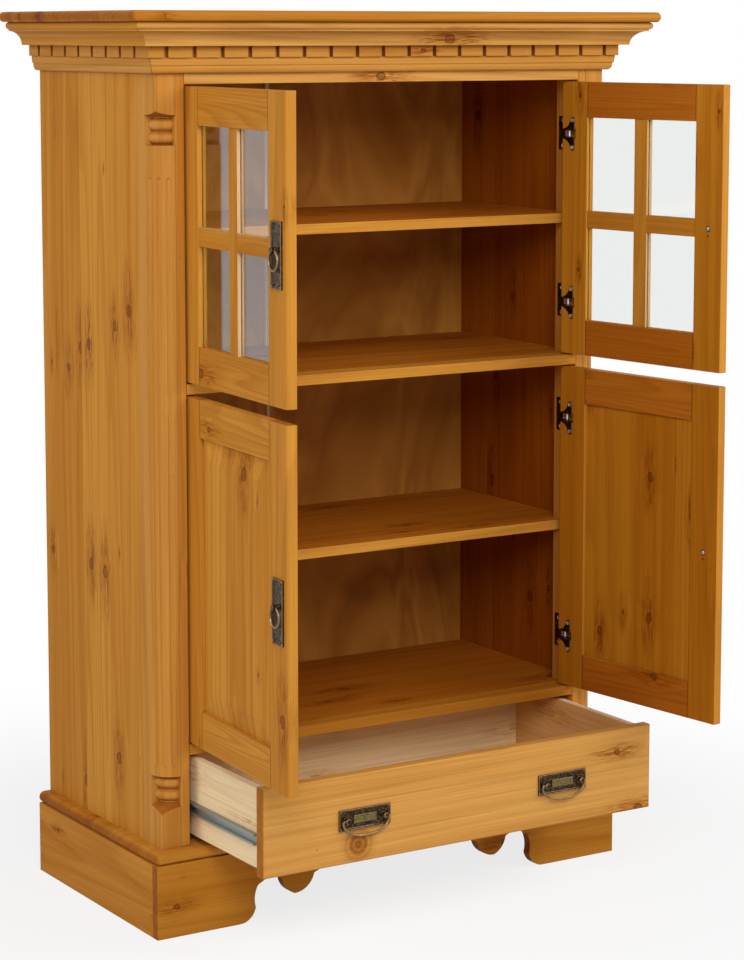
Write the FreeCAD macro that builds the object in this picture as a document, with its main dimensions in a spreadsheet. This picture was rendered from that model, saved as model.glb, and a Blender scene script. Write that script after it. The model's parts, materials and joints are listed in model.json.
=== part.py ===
import FreeCAD, Part
import math
import os
import re
from types import SimpleNamespace

# Solid pine highboard with two glazed doors, two panelled doors and one drawer.
# The frame: +X to the viewer's right, +Y to the back, +Z up, origin on the floor at the middle of the back.

SIZES = [
    ("total_height", 1400),
    ("body_half", 410),
    ("body_depth", 394),
    ("board", 16),
    ("plinth_out", 20),
    ("plinth_step", 22),
    ("plinth_board", 16),
    ("plinth_top", 114),
    ("base_thick", 18),
    ("foot_end_share", 0.666),
    ("foot_inner_share", 0.6),
    ("pendant_share", 0.4372),
    ("pendant_half", 27),
    ("post_face", 34),
    ("post_side", 58),
    ("strip_face", 15),
    ("block_low", 52),
    ("block_high", 130),
    ("shoulder_low", 18),
    ("shoulder_high", 12),
    ("turned_fillet", 1.5),
    ("shaft_inset", 0.5),
    ("corner_round", 2),
    ("bead_height", 19.5),
    ("bead_inset", 6.5),
    ("neck_inset", 13),
    ("flute_radius", 6),
    ("flute_depth", 2),
    ("flute_start", 78),
    ("flute_stop", 104),
    ("drawer_room", 142),
    ("lower_doors_share", 0.537),
    ("frieze_below", 16),
    ("bed_tall", 23),
    ("dentil_tall", 17),
    ("crown_tall", 36),
    ("cap_thick", 16),
    ("bed_out", 14),
    ("dentil_out", 18),
    ("dentil_relief", 9),
    ("dentil_pitch", 47),
    ("dentil_gap", 7),
    ("crown_out", 58),
    ("cap_out", 69),
    ("back_inset", 3),
    ("back_thick", 6),
    ("joint_face", 10),
    ("joint_web", 5),
    ("joint_lip", 2),
    ("shelf_gap", 1),
    ("shelf_setback", 36),
    ("upper_shelf_share", 0.513),
    ("lower_shelf_share", 0.509),
    ("shelf_clear", 1),
    ("pin_radius", 3),
    ("pin_length", 9),
    ("pin_front", 110),
    ("pin_back", 60),
    ("gap", 3),
    ("recess", 1),
    ("stile", 57),
    ("groove", 8),
    ("pane", 4),
    ("pane_in", 7),
    ("edge_round", 3),
    ("bar_face", 28),
    ("bar_in", 1.5),
    ("field_margin", 34),
    ("field_in", 1.5),
    ("left_open", 94.5),
    ("right_open", 97),
    ("hinge_inset", 84),
    ("pivot_in", 7),
    ("pivot_back", 7),
    ("pocket_long", 30),
    ("pocket_floor", 3.5),
    ("pocket_half", 8),
    ("cheek", 2),
    ("hinge_pin", 1.5),
    ("pin_clear", 0.05),
    ("eye_radius", 3.2),
    ("arm_half", 5),
    ("arm_thick", 2.4),
    ("knee_in", 4),
    ("knee_back", 20),
    ("seat_back", 30),
    ("seat_long", 22),
    ("flange", 1.2),
    ("flange_reach", 27),
    ("screw_head", 3.2),
    ("screw_rise", 1),
    ("arm_plate", 2),
    ("plate_face", 34),
    ("plate_tall", 95),
    ("plate_thick", 2.5),
    ("plate_rim", 3),
    ("plate_sink", 1),
    ("stud_radius", 1.5),
    ("stud_inset", 3),
    ("lower_pull_drop", 3),
    ("ring_above", 7),
    ("ring_radius", 14.5),
    ("ring_tube", 1.9),
    ("ring_out", 6.5),
    ("post_radius", 4.2),
    ("post_out", 11),
    ("eye_hole", 2.9),
    ("drawer_out", 217),
    ("drawer_front", 18),
    ("drawer_gap", 3),
    ("drawer_side", 12),
    ("side_lift", 12),
    ("side_drop", 8),
    ("drawer_short", 54),
    ("drawer_bottom", 4),
    ("bottom_lift", 20),
    ("runner_room", 11),
    ("runner_lift", 57),
    ("runner_half", 8.5),
    ("runner_bar", 5),
    ("runner_wall", 1.5),
    ("runner_clear", 0.3),
    ("runner_short", 8),
    ("bail_share", 0.504),
    ("bail_plate_half", 45),
    ("bail_plate_tall", 32),
    ("bail_post_place", 33),
    ("bail_post_radius", 3.5),
    ("bail_radius", 25.5),
    ("bail_tube", 2.1),
    ("bail_pin", 1.8),
    ("bail_out", 6),
    ("badge_half", 17),
    ("badge_tall", 11),
]

# Sizes that follow from the driving ones, so that the pieces keep together when one of those changes.
FORMULAS = [
    ("plinth_half", "body_half + plinth_out"),
    ("plinth_depth", "body_depth + plinth_step"),
    ("base_top", "plinth_top + base_thick"),
    ("drawer_top", "base_top + drawer_room"),
    ("doors_low", "drawer_top + board"),
    ("cap_low", "total_height - cap_thick"),
    ("crown_low", "cap_low - crown_tall"),
    ("dentil_low", "crown_low - dentil_tall"),
    ("bed_low", "dentil_low - bed_tall"),
    ("frieze_low", "bed_low - frieze_below"),
    ("shelf_low", "doors_low + lower_doors_share * (frieze_low - doors_low)"),
    ("upper_doors_low", "shelf_low + board"),
    ("upper_shelf_top", "upper_doors_low + upper_shelf_share * (frieze_low - upper_doors_low)"),
    ("lower_shelf_top", "doors_low + lower_shelf_share * (shelf_low - doors_low)"),
    ("upper_bar_mid", "(upper_doors_low + frieze_low) / 2"),
    ("pull_upper", "upper_bar_mid - ring_above"),
    ("pull_lower", "(doors_low + shelf_low) / 2 - lower_pull_drop"),
    ("turned_low", "base_top + block_low"),
    ("turned_high", "cap_low - block_high"),
    ("flute_low", "turned_low + flute_start"),
    ("flute_high", "turned_high - flute_stop"),
    ("foot_end", "foot_end_share * plinth_half"),
    ("foot_inner", "foot_inner_share * plinth_half"),
    ("pendant_middle", "pendant_share * plinth_half"),
    ("opening_half", "body_half - post_face - strip_face"),
    ("door_edge", "opening_half - gap"),
    ("door_face", "recess - body_depth"),
    ("drawer_side_low", "base_top + side_lift"),
    ("drawer_side_high", "drawer_top - side_drop"),
    ("drawer_bottom_low", "base_top + bottom_lift"),
    ("drawer_length", "body_depth - drawer_short"),
    ("runner_mid", "base_top + runner_lift"),
    ("bail_place", "bail_share * opening_half"),
]

doc = FreeCAD.newDocument("Highboard")
sheet = doc.addObject("Spreadsheet::Sheet", "Sizes")
cells = [(name, str(value)) for name, value in SIZES]
cells += [(name, f"={formula}") for name, formula in FORMULAS]
for row, (name, content) in enumerate(cells, start=1):
    sheet.set(f"A{row}", name)
    sheet.setAlias(f"B{row}", name)
    sheet.set(f"B{row}", content)
doc.recompute()
size = SimpleNamespace(**{name: float(sheet.get(name)) for name, _ in cells})

# Places that follow from the driving sizes, as expressions on the sheet.
OPENING = "opening_half"
INSIDE = "(body_half - board)"
FRONT = "(-body_depth)"
POST_BACK = "(post_side - body_depth)"
DOOR_EDGE = "door_edge"
DOOR_WIDTH = "(door_edge - gap / 2)"
DOOR_FRONT = "door_face"
DRAWER_SIDE = "(opening_half - runner_room)"
BACK_FACE = "(-back_inset - back_thick)"
SHELF_BACK = "(-back_inset - back_thick - joint_lip - shelf_gap)"
TOUCH = 0.01
nodes = {}


def bind(thing, prop, expression):
    """Bind one property to the sheet, with every plain name read as a cell alias."""
    thing.setExpression(prop, re.sub(r"[a-z][a-z_]*", lambda word: "Sizes." + word.group(), expression))


def span(side, near, far):
    """A reach across X between two distances from the middle, on the left (-1) or right (+1)."""
    return (near, far) if side > 0 else (f"-({far})", f"-({near})")


def piece(label):
    """A new sub-part, kept under its node name."""
    body = doc.addObject("PartDesign::Body", label)
    body.Label = label
    body.AllowCompound = True
    nodes[label] = body
    return body


def place(feature, x, y, z):
    bind(feature, "Placement.Base.x", x)
    bind(feature, "Placement.Base.y", y)
    bind(feature, "Placement.Base.z", z)


def block(body, x, y, z, cut=False):
    """A box between pairs of expressions along each axis."""
    kind = "PartDesign::SubtractiveBox" if cut else "PartDesign::AdditiveBox"
    feature = body.newObject(kind, "Block")
    for prop, (low, high) in zip(("Length", "Width", "Height"), (x, y, z)):
        bind(feature, prop, f"({high}) - ({low})")
    place(feature, x[0], y[0], z[0])
    return feature


AXES = {
    "X": FreeCAD.Rotation(FreeCAD.Vector(0, 1, 0), 90),
    "Y": FreeCAD.Rotation(FreeCAD.Vector(1, 0, 0), -90),
    "Z": FreeCAD.Rotation(),
}


def rod(body, axis, radius, length, x, y, z, cut=False):
    """A cylinder that starts at a place and runs along one positive axis."""
    kind = "PartDesign::SubtractiveCylinder" if cut else "PartDesign::AdditiveCylinder"
    feature = body.newObject(kind, "Rod")
    feature.Placement = FreeCAD.Placement(FreeCAD.Vector(), AXES[axis])
    bind(feature, "Radius", radius)
    bind(feature, "Height", length)
    place(feature, x, y, z)
    return feature


def ball(body, radius, x, y, z, cut=False):
    kind = "PartDesign::SubtractiveSphere" if cut else "PartDesign::AdditiveSphere"
    feature = body.newObject(kind, "Ball")
    bind(feature, "Radius", radius)
    place(feature, x, y, z)
    return feature


def sketch_on(body, role, outline):
    """A sketch on one of the body's own planes; an outline holds points, and (middle, end) pairs for arcs."""
    sketch = body.newObject("Sketcher::SketchObject", "Outline")
    plane = next(item for item in body.Origin.OriginFeatures if item.Role == role)
    sketch.AttachmentSupport = [(plane, "")]
    sketch.MapMode = "FlatFace"
    here = FreeCAD.Vector(*outline[0], 0)
    for step in outline[1:] + [outline[0]]:
        if isinstance(step[0], tuple):
            middle, end = (FreeCAD.Vector(*point, 0) for point in step)
            sketch.addGeometry(Part.Arc(here, middle, end), False)
            here = end
        else:
            end = FreeCAD.Vector(*step, 0)
            if end.distanceToPoint(here) > 0:
                sketch.addGeometry(Part.LineSegment(here, end), False)
            here = end
    return sketch


def pad(body, role, outline, length, start="0"):
    """A straight pad of an outline, from a start along the plane's normal."""
    sketch = sketch_on(body, role, outline)
    bind(sketch, "AttachmentOffset.Base.z", start)
    feature = body.newObject("PartDesign::Pad", "Pad")
    feature.Profile = sketch
    bind(feature, "Length", length)
    return feature


def pocket(body, role, outline, length, start="0"):
    """A straight cut of an outline; it cuts towards the plane's back."""
    sketch = sketch_on(body, role, outline)
    bind(sketch, "AttachmentOffset.Base.z", start)
    feature = body.newObject("PartDesign::Pocket", "Pocket")
    feature.Profile = sketch
    bind(feature, "Length", length)
    return feature


def round_edges(body, keep, radius):
    """Round the body's edges whose ends both satisfy a test."""
    doc.recompute()
    tip = body.Tip
    names = []
    for number, edge in enumerate(tip.Shape.Edges, start=1):
        if all(keep(vertex.Point) for vertex in edge.Vertexes) and len(edge.Vertexes) == 2:
            names.append(f"Edge{number}")
    feature = body.newObject("PartDesign::Fillet", "Rounding")
    feature.Base = (tip, names)
    bind(feature, "Radius", radius)
    return feature


def nosed_board(label, half, front, back, low, high):
    """A board whose front and side edges are half-round, mitred by balls at the front corners."""
    body = piece(label)
    nose = f"(0.5 * (({high}) - ({low})))"
    middle = f"(0.5 * (({high}) + ({low})))"
    edge = f"(({half}) - {nose})"
    lip = f"(-({front}) + {nose})"
    block(body, (f"-{edge}", edge), (lip, back), (low, high))
    rod(body, "X", nose, f"2 * {edge}", f"-{edge}", lip, middle)
    for side in ("-", ""):
        rod(body, "Y", nose, f"({back}) - {lip}", f"{side}{edge}", lip, middle)
        ball(body, nose, f"{side}{edge}", lip, middle)


# Where the flutes stand, as shares of the quarter turn; the middle of a shoulder's arc, as shares of its
# reach and of its height; and the most of a post that turning may leave.
FLUTE_SHARES = (0.22, 0.5, 0.78)
SHOULDER_SHARES = (0.45, 0.37)
KEPT_SHARE = 0.999


def beads(start, crest, neck):
    """The steps of two beads, one on the other, in a turning's outline."""
    steps = [(neck, start)]
    for foot in (start, start + size.bead_height):
        steps.append(((crest, foot + size.bead_height / 2), (neck, foot + size.bead_height)))
    return steps


def corner_post(label, side):
    """A square post whose outer corner is turned to a fluted quarter column between pairs of beads."""
    body = piece(label)
    block(body, span(side, "body_half - post_face", "body_half"), (FRONT, POST_BACK), ("base_top", "cap_low"))

    def at_corner(point):
        return abs(abs(point.x) - size.body_half) < TOUCH and abs(point.y + size.body_depth) < TOUCH

    round_edges(body, at_corner, "corner_round")
    doc.recompute()
    whole = body.Shape.Volume
    axis_x = size.body_half - size.post_face
    axis_y = size.post_face - size.body_depth
    outer = size.post_face * math.sqrt(2) + size.turned_fillet
    shaft = size.post_face - size.shaft_inset
    crest = size.post_face - size.bead_inset
    neck = size.post_face - size.neck_inset
    low, high = size.turned_low, size.turned_high
    first = low + size.shoulder_low
    last = high - size.shoulder_high
    middle = neck + SHOULDER_SHARES[0] * (outer - neck)
    under, over = SHOULDER_SHARES[1] * size.shoulder_low, SHOULDER_SHARES[1] * size.shoulder_high
    outline = [(outer, low), ((middle, first - under), (neck, first - size.turned_fillet))]
    outline += beads(first, crest, neck)
    outline += [(shaft, first + 2 * size.bead_height + size.turned_fillet)]
    outline += [(shaft, last - 2 * size.bead_height - size.turned_fillet)]
    outline += beads(last - 2 * size.bead_height, crest, neck)
    outline += [(neck, last + size.turned_fillet), ((middle, last + over), (outer, high))]
    points = []
    for step in outline:
        if isinstance(step[0], tuple):
            points.append(tuple((side * (axis_x + reach), z) for reach, z in step))
        else:
            points.append((side * (axis_x + step[0]), step[1]))
    sketch = sketch_on(body, "XZ_Plane", points)
    bind(sketch, "AttachmentOffset.Base.z", "body_depth - post_face")
    axis = body.newObject("PartDesign::Line", "TurningAxis")
    axis.Placement = FreeCAD.Placement(FreeCAD.Vector(side * axis_x, axis_y, 0), FreeCAD.Rotation())
    groove = body.newObject("PartDesign::Groove", "Turning")
    groove.Profile = sketch
    groove.ReferenceAxis = (axis, [""])
    groove.Angle = 90
    groove.Reversed = side > 0
    doc.recompute()
    if body.Shape.Volume > whole * KEPT_SHARE:
        raise RuntimeError(f"{label}: the turning cut nothing")
    reach = shaft + size.flute_radius - size.flute_depth
    for share in FLUTE_SHARES:
        turn = math.radians(90 * share)
        out_x = f"{side} * (body_half - post_face + {reach * math.cos(turn)})"
        out_y = f"post_face - body_depth - {reach * math.sin(turn)}"
        rod(body, "Z", "flute_radius", "flute_high - flute_low", out_x, out_y, "flute_low", cut=True)
        for end in ("flute_low", "flute_high"):
            ball(body, "flute_radius", out_x, out_y, end, cut=True)


def shelf_board(label, front, top, reach=INSIDE, opening=OPENING):
    """A board between the side panels, narrower where it passes between the corner posts."""
    body = piece(label)
    depth = (f"({top}) - board", top)
    block(body, (f"-{reach}", reach), (f"{POST_BACK} + shelf_clear", SHELF_BACK), depth)
    block(body, (f"-{opening}", opening), (front, f"{POST_BACK} + shelf_clear"), depth)


def carcass():
    nosed_board("base_board", "plinth_half", "plinth_depth", "0", "plinth_top", "base_top")
    edges = ("(body_half + cap_out)", "(body_depth + cap_out)", "0")
    nosed_board("cap_board", *edges, "cap_low", "total_height")
    for side, word in ((-1, "left"), (1, "right")):
        corner_post(f"corner_post_{word}", side)
        panel = piece(f"side_panel_{word}")
        block(panel, span(side, INSIDE, "body_half"), (POST_BACK, "0"), ("base_top", "cap_low"))
    strips = piece("inner_strips")
    for side in (-1, 1):
        wide = span(side, OPENING, "body_half - post_face")
        block(strips, wide, (FRONT, POST_BACK), ("base_top", "cap_low"))
    round_edges(strips, lambda point: abs(point.y + size.body_depth) < TOUCH, "corner_round")
    shelf_board("bottom_board", FRONT, "doors_low")
    shelf_board("fixed_shelf", FRONT, "upper_doors_low")
    shelf_board("ceiling_board", "(board - body_depth)", "frieze_low + board")
    loose = (f"({INSIDE} - shelf_clear)", f"({OPENING} - shelf_clear)")
    shelf_board("upper_shelf", "(shelf_setback - body_depth)", "upper_shelf_top", *loose)
    shelf_board("lower_shelf", "(shelf_setback - body_depth)", "lower_shelf_top", *loose)
    frieze = piece("frieze_rail")
    block(frieze, (f"-{OPENING}", OPENING), (FRONT, "board - body_depth"), ("frieze_low", "cap_low"))
    pins = piece("shelf_pins")
    for top in ("upper_shelf_top", "lower_shelf_top"):
        for depth in ("pin_front - body_depth", "-pin_back"):
            for start in (f"-{INSIDE}", f"{INSIDE} - pin_length"):
                rod(pins, "X", "pin_radius", "pin_length", start, depth, f"{top} - board - pin_radius")
    backs = piece("back_panels")
    whole = ("base_top", "cap_low")
    skin = (BACK_FACE, "-back_inset")
    for side in (-1, 1):
        block(backs, span(side, "joint_web / 2", INSIDE), skin, whole)
    strip = piece("back_joint_strip")
    block(strip, ("-joint_web / 2", "joint_web / 2"), skin, whole)
    block(strip, ("-joint_face / 2", "joint_face / 2"), (f"{BACK_FACE} - joint_lip", BACK_FACE), whole)
    battens = piece("runner_battens")
    for side in (-1, 1):
        tall = ("runner_mid - 2 * runner_half", "runner_mid + 2 * runner_half")
        block(battens, span(side, OPENING, INSIDE), (POST_BACK, SHELF_BACK), tall)


# The scrolled edge of the apron, from the foot to the middle: across as shares of the pendant's half width,
# up as shares of the plinth's height. A pair is an arc's middle and end.
FOOT_SHARES = [((0.385, 0.058), (0.03, 0.2)), ((0.1, 0.33), (-0.01, 0.45)), ((-0.12, 0.5), (-0.33, 0.53))]
ARCH_SHARES = ((1.56, 0.585), (0.87, 0.53))
PENDANT_SHARES = [((0.52, 0.365), (0.02, 0.29)), ((-0.8, 0.355), (-1.28, 0.53))]
CREST_SHARES = ((-3.6, 0.7), 0.74)


def scroll_step(step, across):
    """One step of the scrolled edge in real sizes, measured from a place across the front."""
    if isinstance(step[0], tuple):
        return tuple(scroll_step(point, across) for point in step)
    return (across + step[0] * size.pendant_half, step[1] * size.plinth_top)


def plinth():
    apron = piece("front_apron")
    half = [(size.plinth_half, size.plinth_top), (size.plinth_half, 0), (size.foot_end, 0)]
    half += [scroll_step(step, size.foot_inner) for step in FOOT_SHARES]
    half += [scroll_step(step, size.pendant_middle) for step in [ARCH_SHARES] + PENDANT_SHARES]
    rise, crest = CREST_SHARES
    half.append((scroll_step(rise, size.pendant_middle), (0, crest * size.plinth_top)))
    pad(apron, "XZ_Plane", half + mirrored(half), "plinth_board", "plinth_depth - plinth_board")
    sides = piece("plinth_sides")
    for side in (-1, 1):
        behind = ("plinth_board - plinth_depth", "0")
        block(sides, span(side, "plinth_half - plinth_board", "plinth_half"), behind, ("0", "plinth_top"))
    rear = piece("plinth_back_rail")
    across = ("plinth_board - plinth_half", "plinth_half - plinth_board")
    block(rear, across, ("-plinth_board", "0"), ("0", "plinth_top"))


def mirrored(half):
    """The other half of an outline that ends on the middle line, walked back with arcs turned round."""
    ends = [step[1] if isinstance(step[0], tuple) else step for step in half]
    result = []
    for number in range(len(half) - 1, 0, -1):
        step = half[number]
        end = (-ends[number - 1][0], ends[number - 1][1])
        if isinstance(step[0], tuple):
            result.append(((-step[0][0], step[0][1]), end))
        else:
            result.append(end)
    return result


def mitre(body, side, front_piece):
    """Cut one end of a moulding along the diagonal through the body's front corner."""
    corner = (side * size.body_half, -size.body_depth)
    reach = 2 * size.cap_out
    tip = (corner[0] + side * reach, corner[1] - reach)
    third = (tip[0], corner[1]) if front_piece else (corner[0], tip[1])
    pocket(body, "XY_Plane", [corner, tip, third], "cap_low - bed_low", "cap_low")


def moulding_front(body, profile, out):
    """A moulding along the front; the profile holds (out from the face, height) points."""
    turned = [turn_profile(step, lambda reach: -size.body_depth - reach) for step in profile]
    pad(body, "YZ_Plane", turned, f"2 * (body_half + {out})", f"-(body_half + {out})")
    for side in (-1, 1):
        mitre(body, side, True)


def moulding_side(body, profile, out, side):
    """A moulding along one side, from the mitred front corner to the back."""
    turned = [turn_profile(step, lambda reach: side * (size.body_half + reach)) for step in profile]
    pad(body, "XZ_Plane", turned, f"body_depth + {out}")
    mitre(body, side, False)


def turn_profile(step, across):
    if isinstance(step[0], tuple):
        return tuple((across(reach), height) for reach, height in step)
    return (across(step[0]), step[1])


# The mouldings' profiles: out from the body as shares of the projection, up as shares of the height.
BED_SHARES = [
    (0, 0), (0.4, 0), ((0.7, 0.15), (0.8, 0.5)), (0.9, 0.5), ((0.97, 0.75), (1, 1)), (0, 1),
]
CROWN_SHARES = [
    (0, 0), (0.53, 0), ((0.64, 0.43), (0.91, 0.61)), (0.91, 0.68), ((1, 0.84), (0.91, 1)), (0, 1),
]


def profile(shares, out, low, high):
    """A moulding's profile in real sizes, as (out from the face, height) points and arcs."""
    steps = []
    for step in shares:
        if isinstance(step[0], tuple):
            steps.append(tuple((out * reach, low + (high - low) * rise) for reach, rise in step))
        else:
            steps.append((out * step[0], low + (high - low) * step[1]))
    return steps


def cornice():
    bed_profile = profile(BED_SHARES, size.bed_out, size.bed_low, size.dentil_low)
    crown_profile = profile(CROWN_SHARES, size.crown_out, size.crown_low, size.cap_low)
    beds = piece("bed_mouldings")
    moulding_front(beds, bed_profile, "bed_out")
    crown_front = piece("crown_front")
    moulding_front(crown_front, crown_profile, "crown_out")
    crown_sides = piece("crown_sides")
    for side in (-1, 1):
        moulding_side(beds, bed_profile, "bed_out", side)
        moulding_side(crown_sides, crown_profile, "crown_out", side)
    dentils()


def dentils():
    """The dentil band: a strip on three sides whose face is cut through by narrow gaps."""
    band = piece("dentil_bands")
    tall = ("dentil_low", "crown_low")
    face = "(-body_depth - dentil_out)"
    wide = "(body_half + dentil_out)"
    block(band, (f"-{wide}", wide), (face, FRONT), tall)
    for side in (-1, 1):
        block(band, span(side, "body_half", wide), (FRONT, "0"), tall)
    across = int(2 * (size.body_half + size.dentil_out) / size.dentil_pitch)
    for number in range(across):
        middle = f"({number - (across - 1) / 2} * dentil_pitch)"
        gap = (f"{middle} - dentil_gap / 2", f"{middle} + dentil_gap / 2")
        block(band, gap, (face, f"{face} + dentil_relief"), tall, cut=True)
    along = int(size.body_depth / size.dentil_pitch)
    for number in range(1, along + 1):
        middle = f"({face} + {number} * dentil_pitch)"
        gap = (f"{middle} - dentil_gap / 2", f"{middle} + dentil_gap / 2")
        for side in (-1, 1):
            block(band, span(side, f"{wide} - dentil_relief", wide), gap, tall, cut=True)


LEVELS = {
    "upper": ("(upper_doors_low + gap)", "(frieze_low - gap)", "pull_upper"),
    "lower": ("(doors_low + gap)", "(shelf_low - gap)", "pull_lower"),
}


def open_placement(side):
    """The turn about the hinge pins that opens a door as far as it stands."""
    turn = size.right_open if side > 0 else size.left_open
    pivot = FreeCAD.Vector(side * (size.door_edge - size.pivot_in), size.door_face + size.pivot_back, 0)
    return FreeCAD.Placement(FreeCAD.Vector(), FreeCAD.Rotation(FreeCAD.Vector(0, 0, 1), side * turn), pivot)


def door(level, side, word):
    low, high, pull = LEVELS[level]
    name = f"{level}_{word}"
    made = len(nodes)

    def across(start, end):
        return span(side, f"{DOOR_EDGE} - ({end})", f"{DOOR_EDGE} - ({start})")

    def depth(start, end):
        return f"{DOOR_FRONT} + ({start})", f"{DOOR_FRONT} + ({end})"

    inner = f"({DOOR_WIDTH} - stile)"
    slot = depth("pane_in", "pane_in + pane")
    full = depth("0", "board")
    stiles = piece(f"{name}_stiles")
    block(stiles, across("0", "stile"), full, (low, high))
    block(stiles, across(inner, DOOR_WIDTH), full, (low, high))

    def on_outer_edge(point):
        beside = min(abs(abs(point.x) - edge) for edge in (size.door_edge, size.gap / 2))
        return abs(point.y - size.door_face) < TOUCH and beside < TOUCH

    round_edges(stiles, on_outer_edge, "edge_round")
    block(stiles, across("stile - groove", "stile"), slot, (low, high), cut=True)
    block(stiles, across(inner, f"{inner} + groove"), slot, (low, high), cut=True)
    hinges = (f"{low} + hinge_inset", f"{high} - hinge_inset")
    for middle in hinges:
        tall = (f"{middle} - pocket_half", f"{middle} + pocket_half")
        block(stiles, across("0", "pocket_long"), depth("pocket_floor", "board"), tall, cut=True)

    rails = piece(f"{name}_rails")
    clear = across("stile - groove", f"{inner} + groove")
    for bottom, top, mouth in (
        (f"{high} - stile", high, (f"{high} - stile", f"{high} - stile + groove")),
        (low, f"{low} + stile", (f"{low} + stile - groove", f"{low} + stile")),
    ):
        block(rails, across("stile", inner), full, (bottom, top))
        block(rails, clear, slot, (bottom, top))
        block(rails, clear, slot, mouth, cut=True)

    pane_wide = across("stile - groove + shelf_clear", f"{inner} + groove - shelf_clear")
    pane_tall = (f"{low} + stile - groove", f"{high} - stile + groove - shelf_clear")
    if level == "upper":
        block(piece(f"{name}_glass"), pane_wide, slot, pane_tall)
        bars = piece(f"{name}_glazing_bars")
        middle = f"({DOOR_WIDTH} / 2)"
        upright = across(f"{middle} - bar_face / 2", f"{middle} + bar_face / 2")
        crossing = ("upper_bar_mid - bar_face / 2", "upper_bar_mid + bar_face / 2")
        for thick in (depth("bar_in", "pane_in"), depth("pane_in + pane", "board - bar_in")):
            block(bars, upright, thick, (f"{low} + stile", f"{high} - stile"))
            block(bars, across("stile", inner), thick, crossing)
    else:
        panel = piece(f"{name}_panel")
        block(panel, pane_wide, slot, pane_tall)
        raised_field(panel, across, depth, inner, low, high)
    pull_plate(name, side, across, depth, pull)
    hinge_cups(name, side, across, depth, hinges)
    for label in list(nodes)[made:]:
        nodes[label].Placement = open_placement(side)


def raised_field(panel, across, depth, inner, low, high):
    """The bevelled front of a panel: a field that slopes back to the frame on four sides."""
    field = panel.newObject("PartDesign::AdditiveWedge", "Field")
    wide = across("stile + shelf_clear", f"{inner} - shelf_clear")
    flat = across("stile + field_margin", f"{inner} - field_margin")
    front, back = depth("field_in", "pane_in")
    tall = (f"{low} + stile + shelf_clear", f"{high} - stile - shelf_clear")
    level = (f"{low} + stile + field_margin", f"{high} - stile - field_margin")
    for prop, expression in (
        ("Xmin", flat[0]), ("Xmax", flat[1]), ("Zmin", level[0]), ("Zmax", level[1]),
        ("X2min", wide[0]), ("X2max", wide[1]), ("Z2min", tall[0]), ("Z2max", tall[1]),
        ("Ymin", front), ("Ymax", back),
    ):
        bind(field, prop, expression)


def pull_plate(name, side, across, depth, pull):
    """An oblong plate with a raised rim, and the ring that hangs from its post."""
    middle = f"({DOOR_WIDTH} - stile / 2)"
    plate = piece(f"{name}_pull_plate")
    half, tall = "plate_face / 2", "plate_tall / 2"
    block(plate, across(f"{middle} - {half}", f"{middle} + {half}"), depth("-plate_thick", "0"),
          (f"{pull} - {tall}", f"{pull} + {tall}"))
    half, tall = "(plate_face / 2 - plate_rim)", "(plate_tall / 2 - plate_rim)"
    floor = "plate_sink - plate_thick"
    block(plate, across(f"{middle} - {half}", f"{middle} + {half}"), depth("-plate_thick", floor),
          (f"{pull} - {tall}", f"{pull} + {tall}"), cut=True)
    centre = across(middle, middle)[0]
    eye = f"{pull} + ring_above"
    hole = f"{DOOR_FRONT} - ring_out"
    rod(plate, "Y", "post_radius", f"post_out + {floor}", centre, f"{DOOR_FRONT} - post_out", eye)
    rod(plate, "X", "eye_hole", "4 * post_radius", f"{centre} - 2 * post_radius", hole, eye, cut=True)
    for end in ("+", "-"):
        for edge in ("+", "-"):
            stud = across(f"{middle} {edge} ({half} - stud_inset)", middle)
            spot = stud[0] if side < 0 else stud[1]
            height = f"{pull} {end} ({tall} - stud_inset)"
            proud = f"{DOOR_FRONT} - plate_thick - plate_sink"
            rod(plate, "Y", "stud_radius", "2 * plate_sink", spot, proud, height)
    ring = piece(f"{name}_pull_ring")
    loop = ring.newObject("PartDesign::AdditiveTorus", "Loop")
    loop.Placement = FreeCAD.Placement(FreeCAD.Vector(), AXES["Y"])
    bind(loop, "Radius1", "ring_radius")
    bind(loop, "Radius2", "ring_tube")
    place(loop, centre, hole, f"{eye} - ring_radius")


def hinge_lobe():
    """One ear of a hinge flange, in from the door's edge and up from the hinge's middle."""
    root, tip = size.pocket_half, size.flange_reach
    near, far = size.cheek, size.pocket_long - size.cheek
    neck = far - 2 * size.screw_head - size.cheek
    shoulder = tip - size.screw_head
    waist = ((near + 2 * neck) / 3, (2 * root + shoulder) / 3)
    return [(near, root), (far, root), (far, shoulder), (((neck + far) / 2, tip), (neck, shoulder)),
            (waist, (near, root))]


def lobe_step(step, side, end):
    """A step of the ear's outline on the left or right door, above (+1) or below (-1) the hinge's middle."""
    if isinstance(step[0], tuple):
        return tuple(lobe_step(point, side, end) for point in step)
    return (side * (size.door_edge - step[0]), end * step[1])


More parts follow.
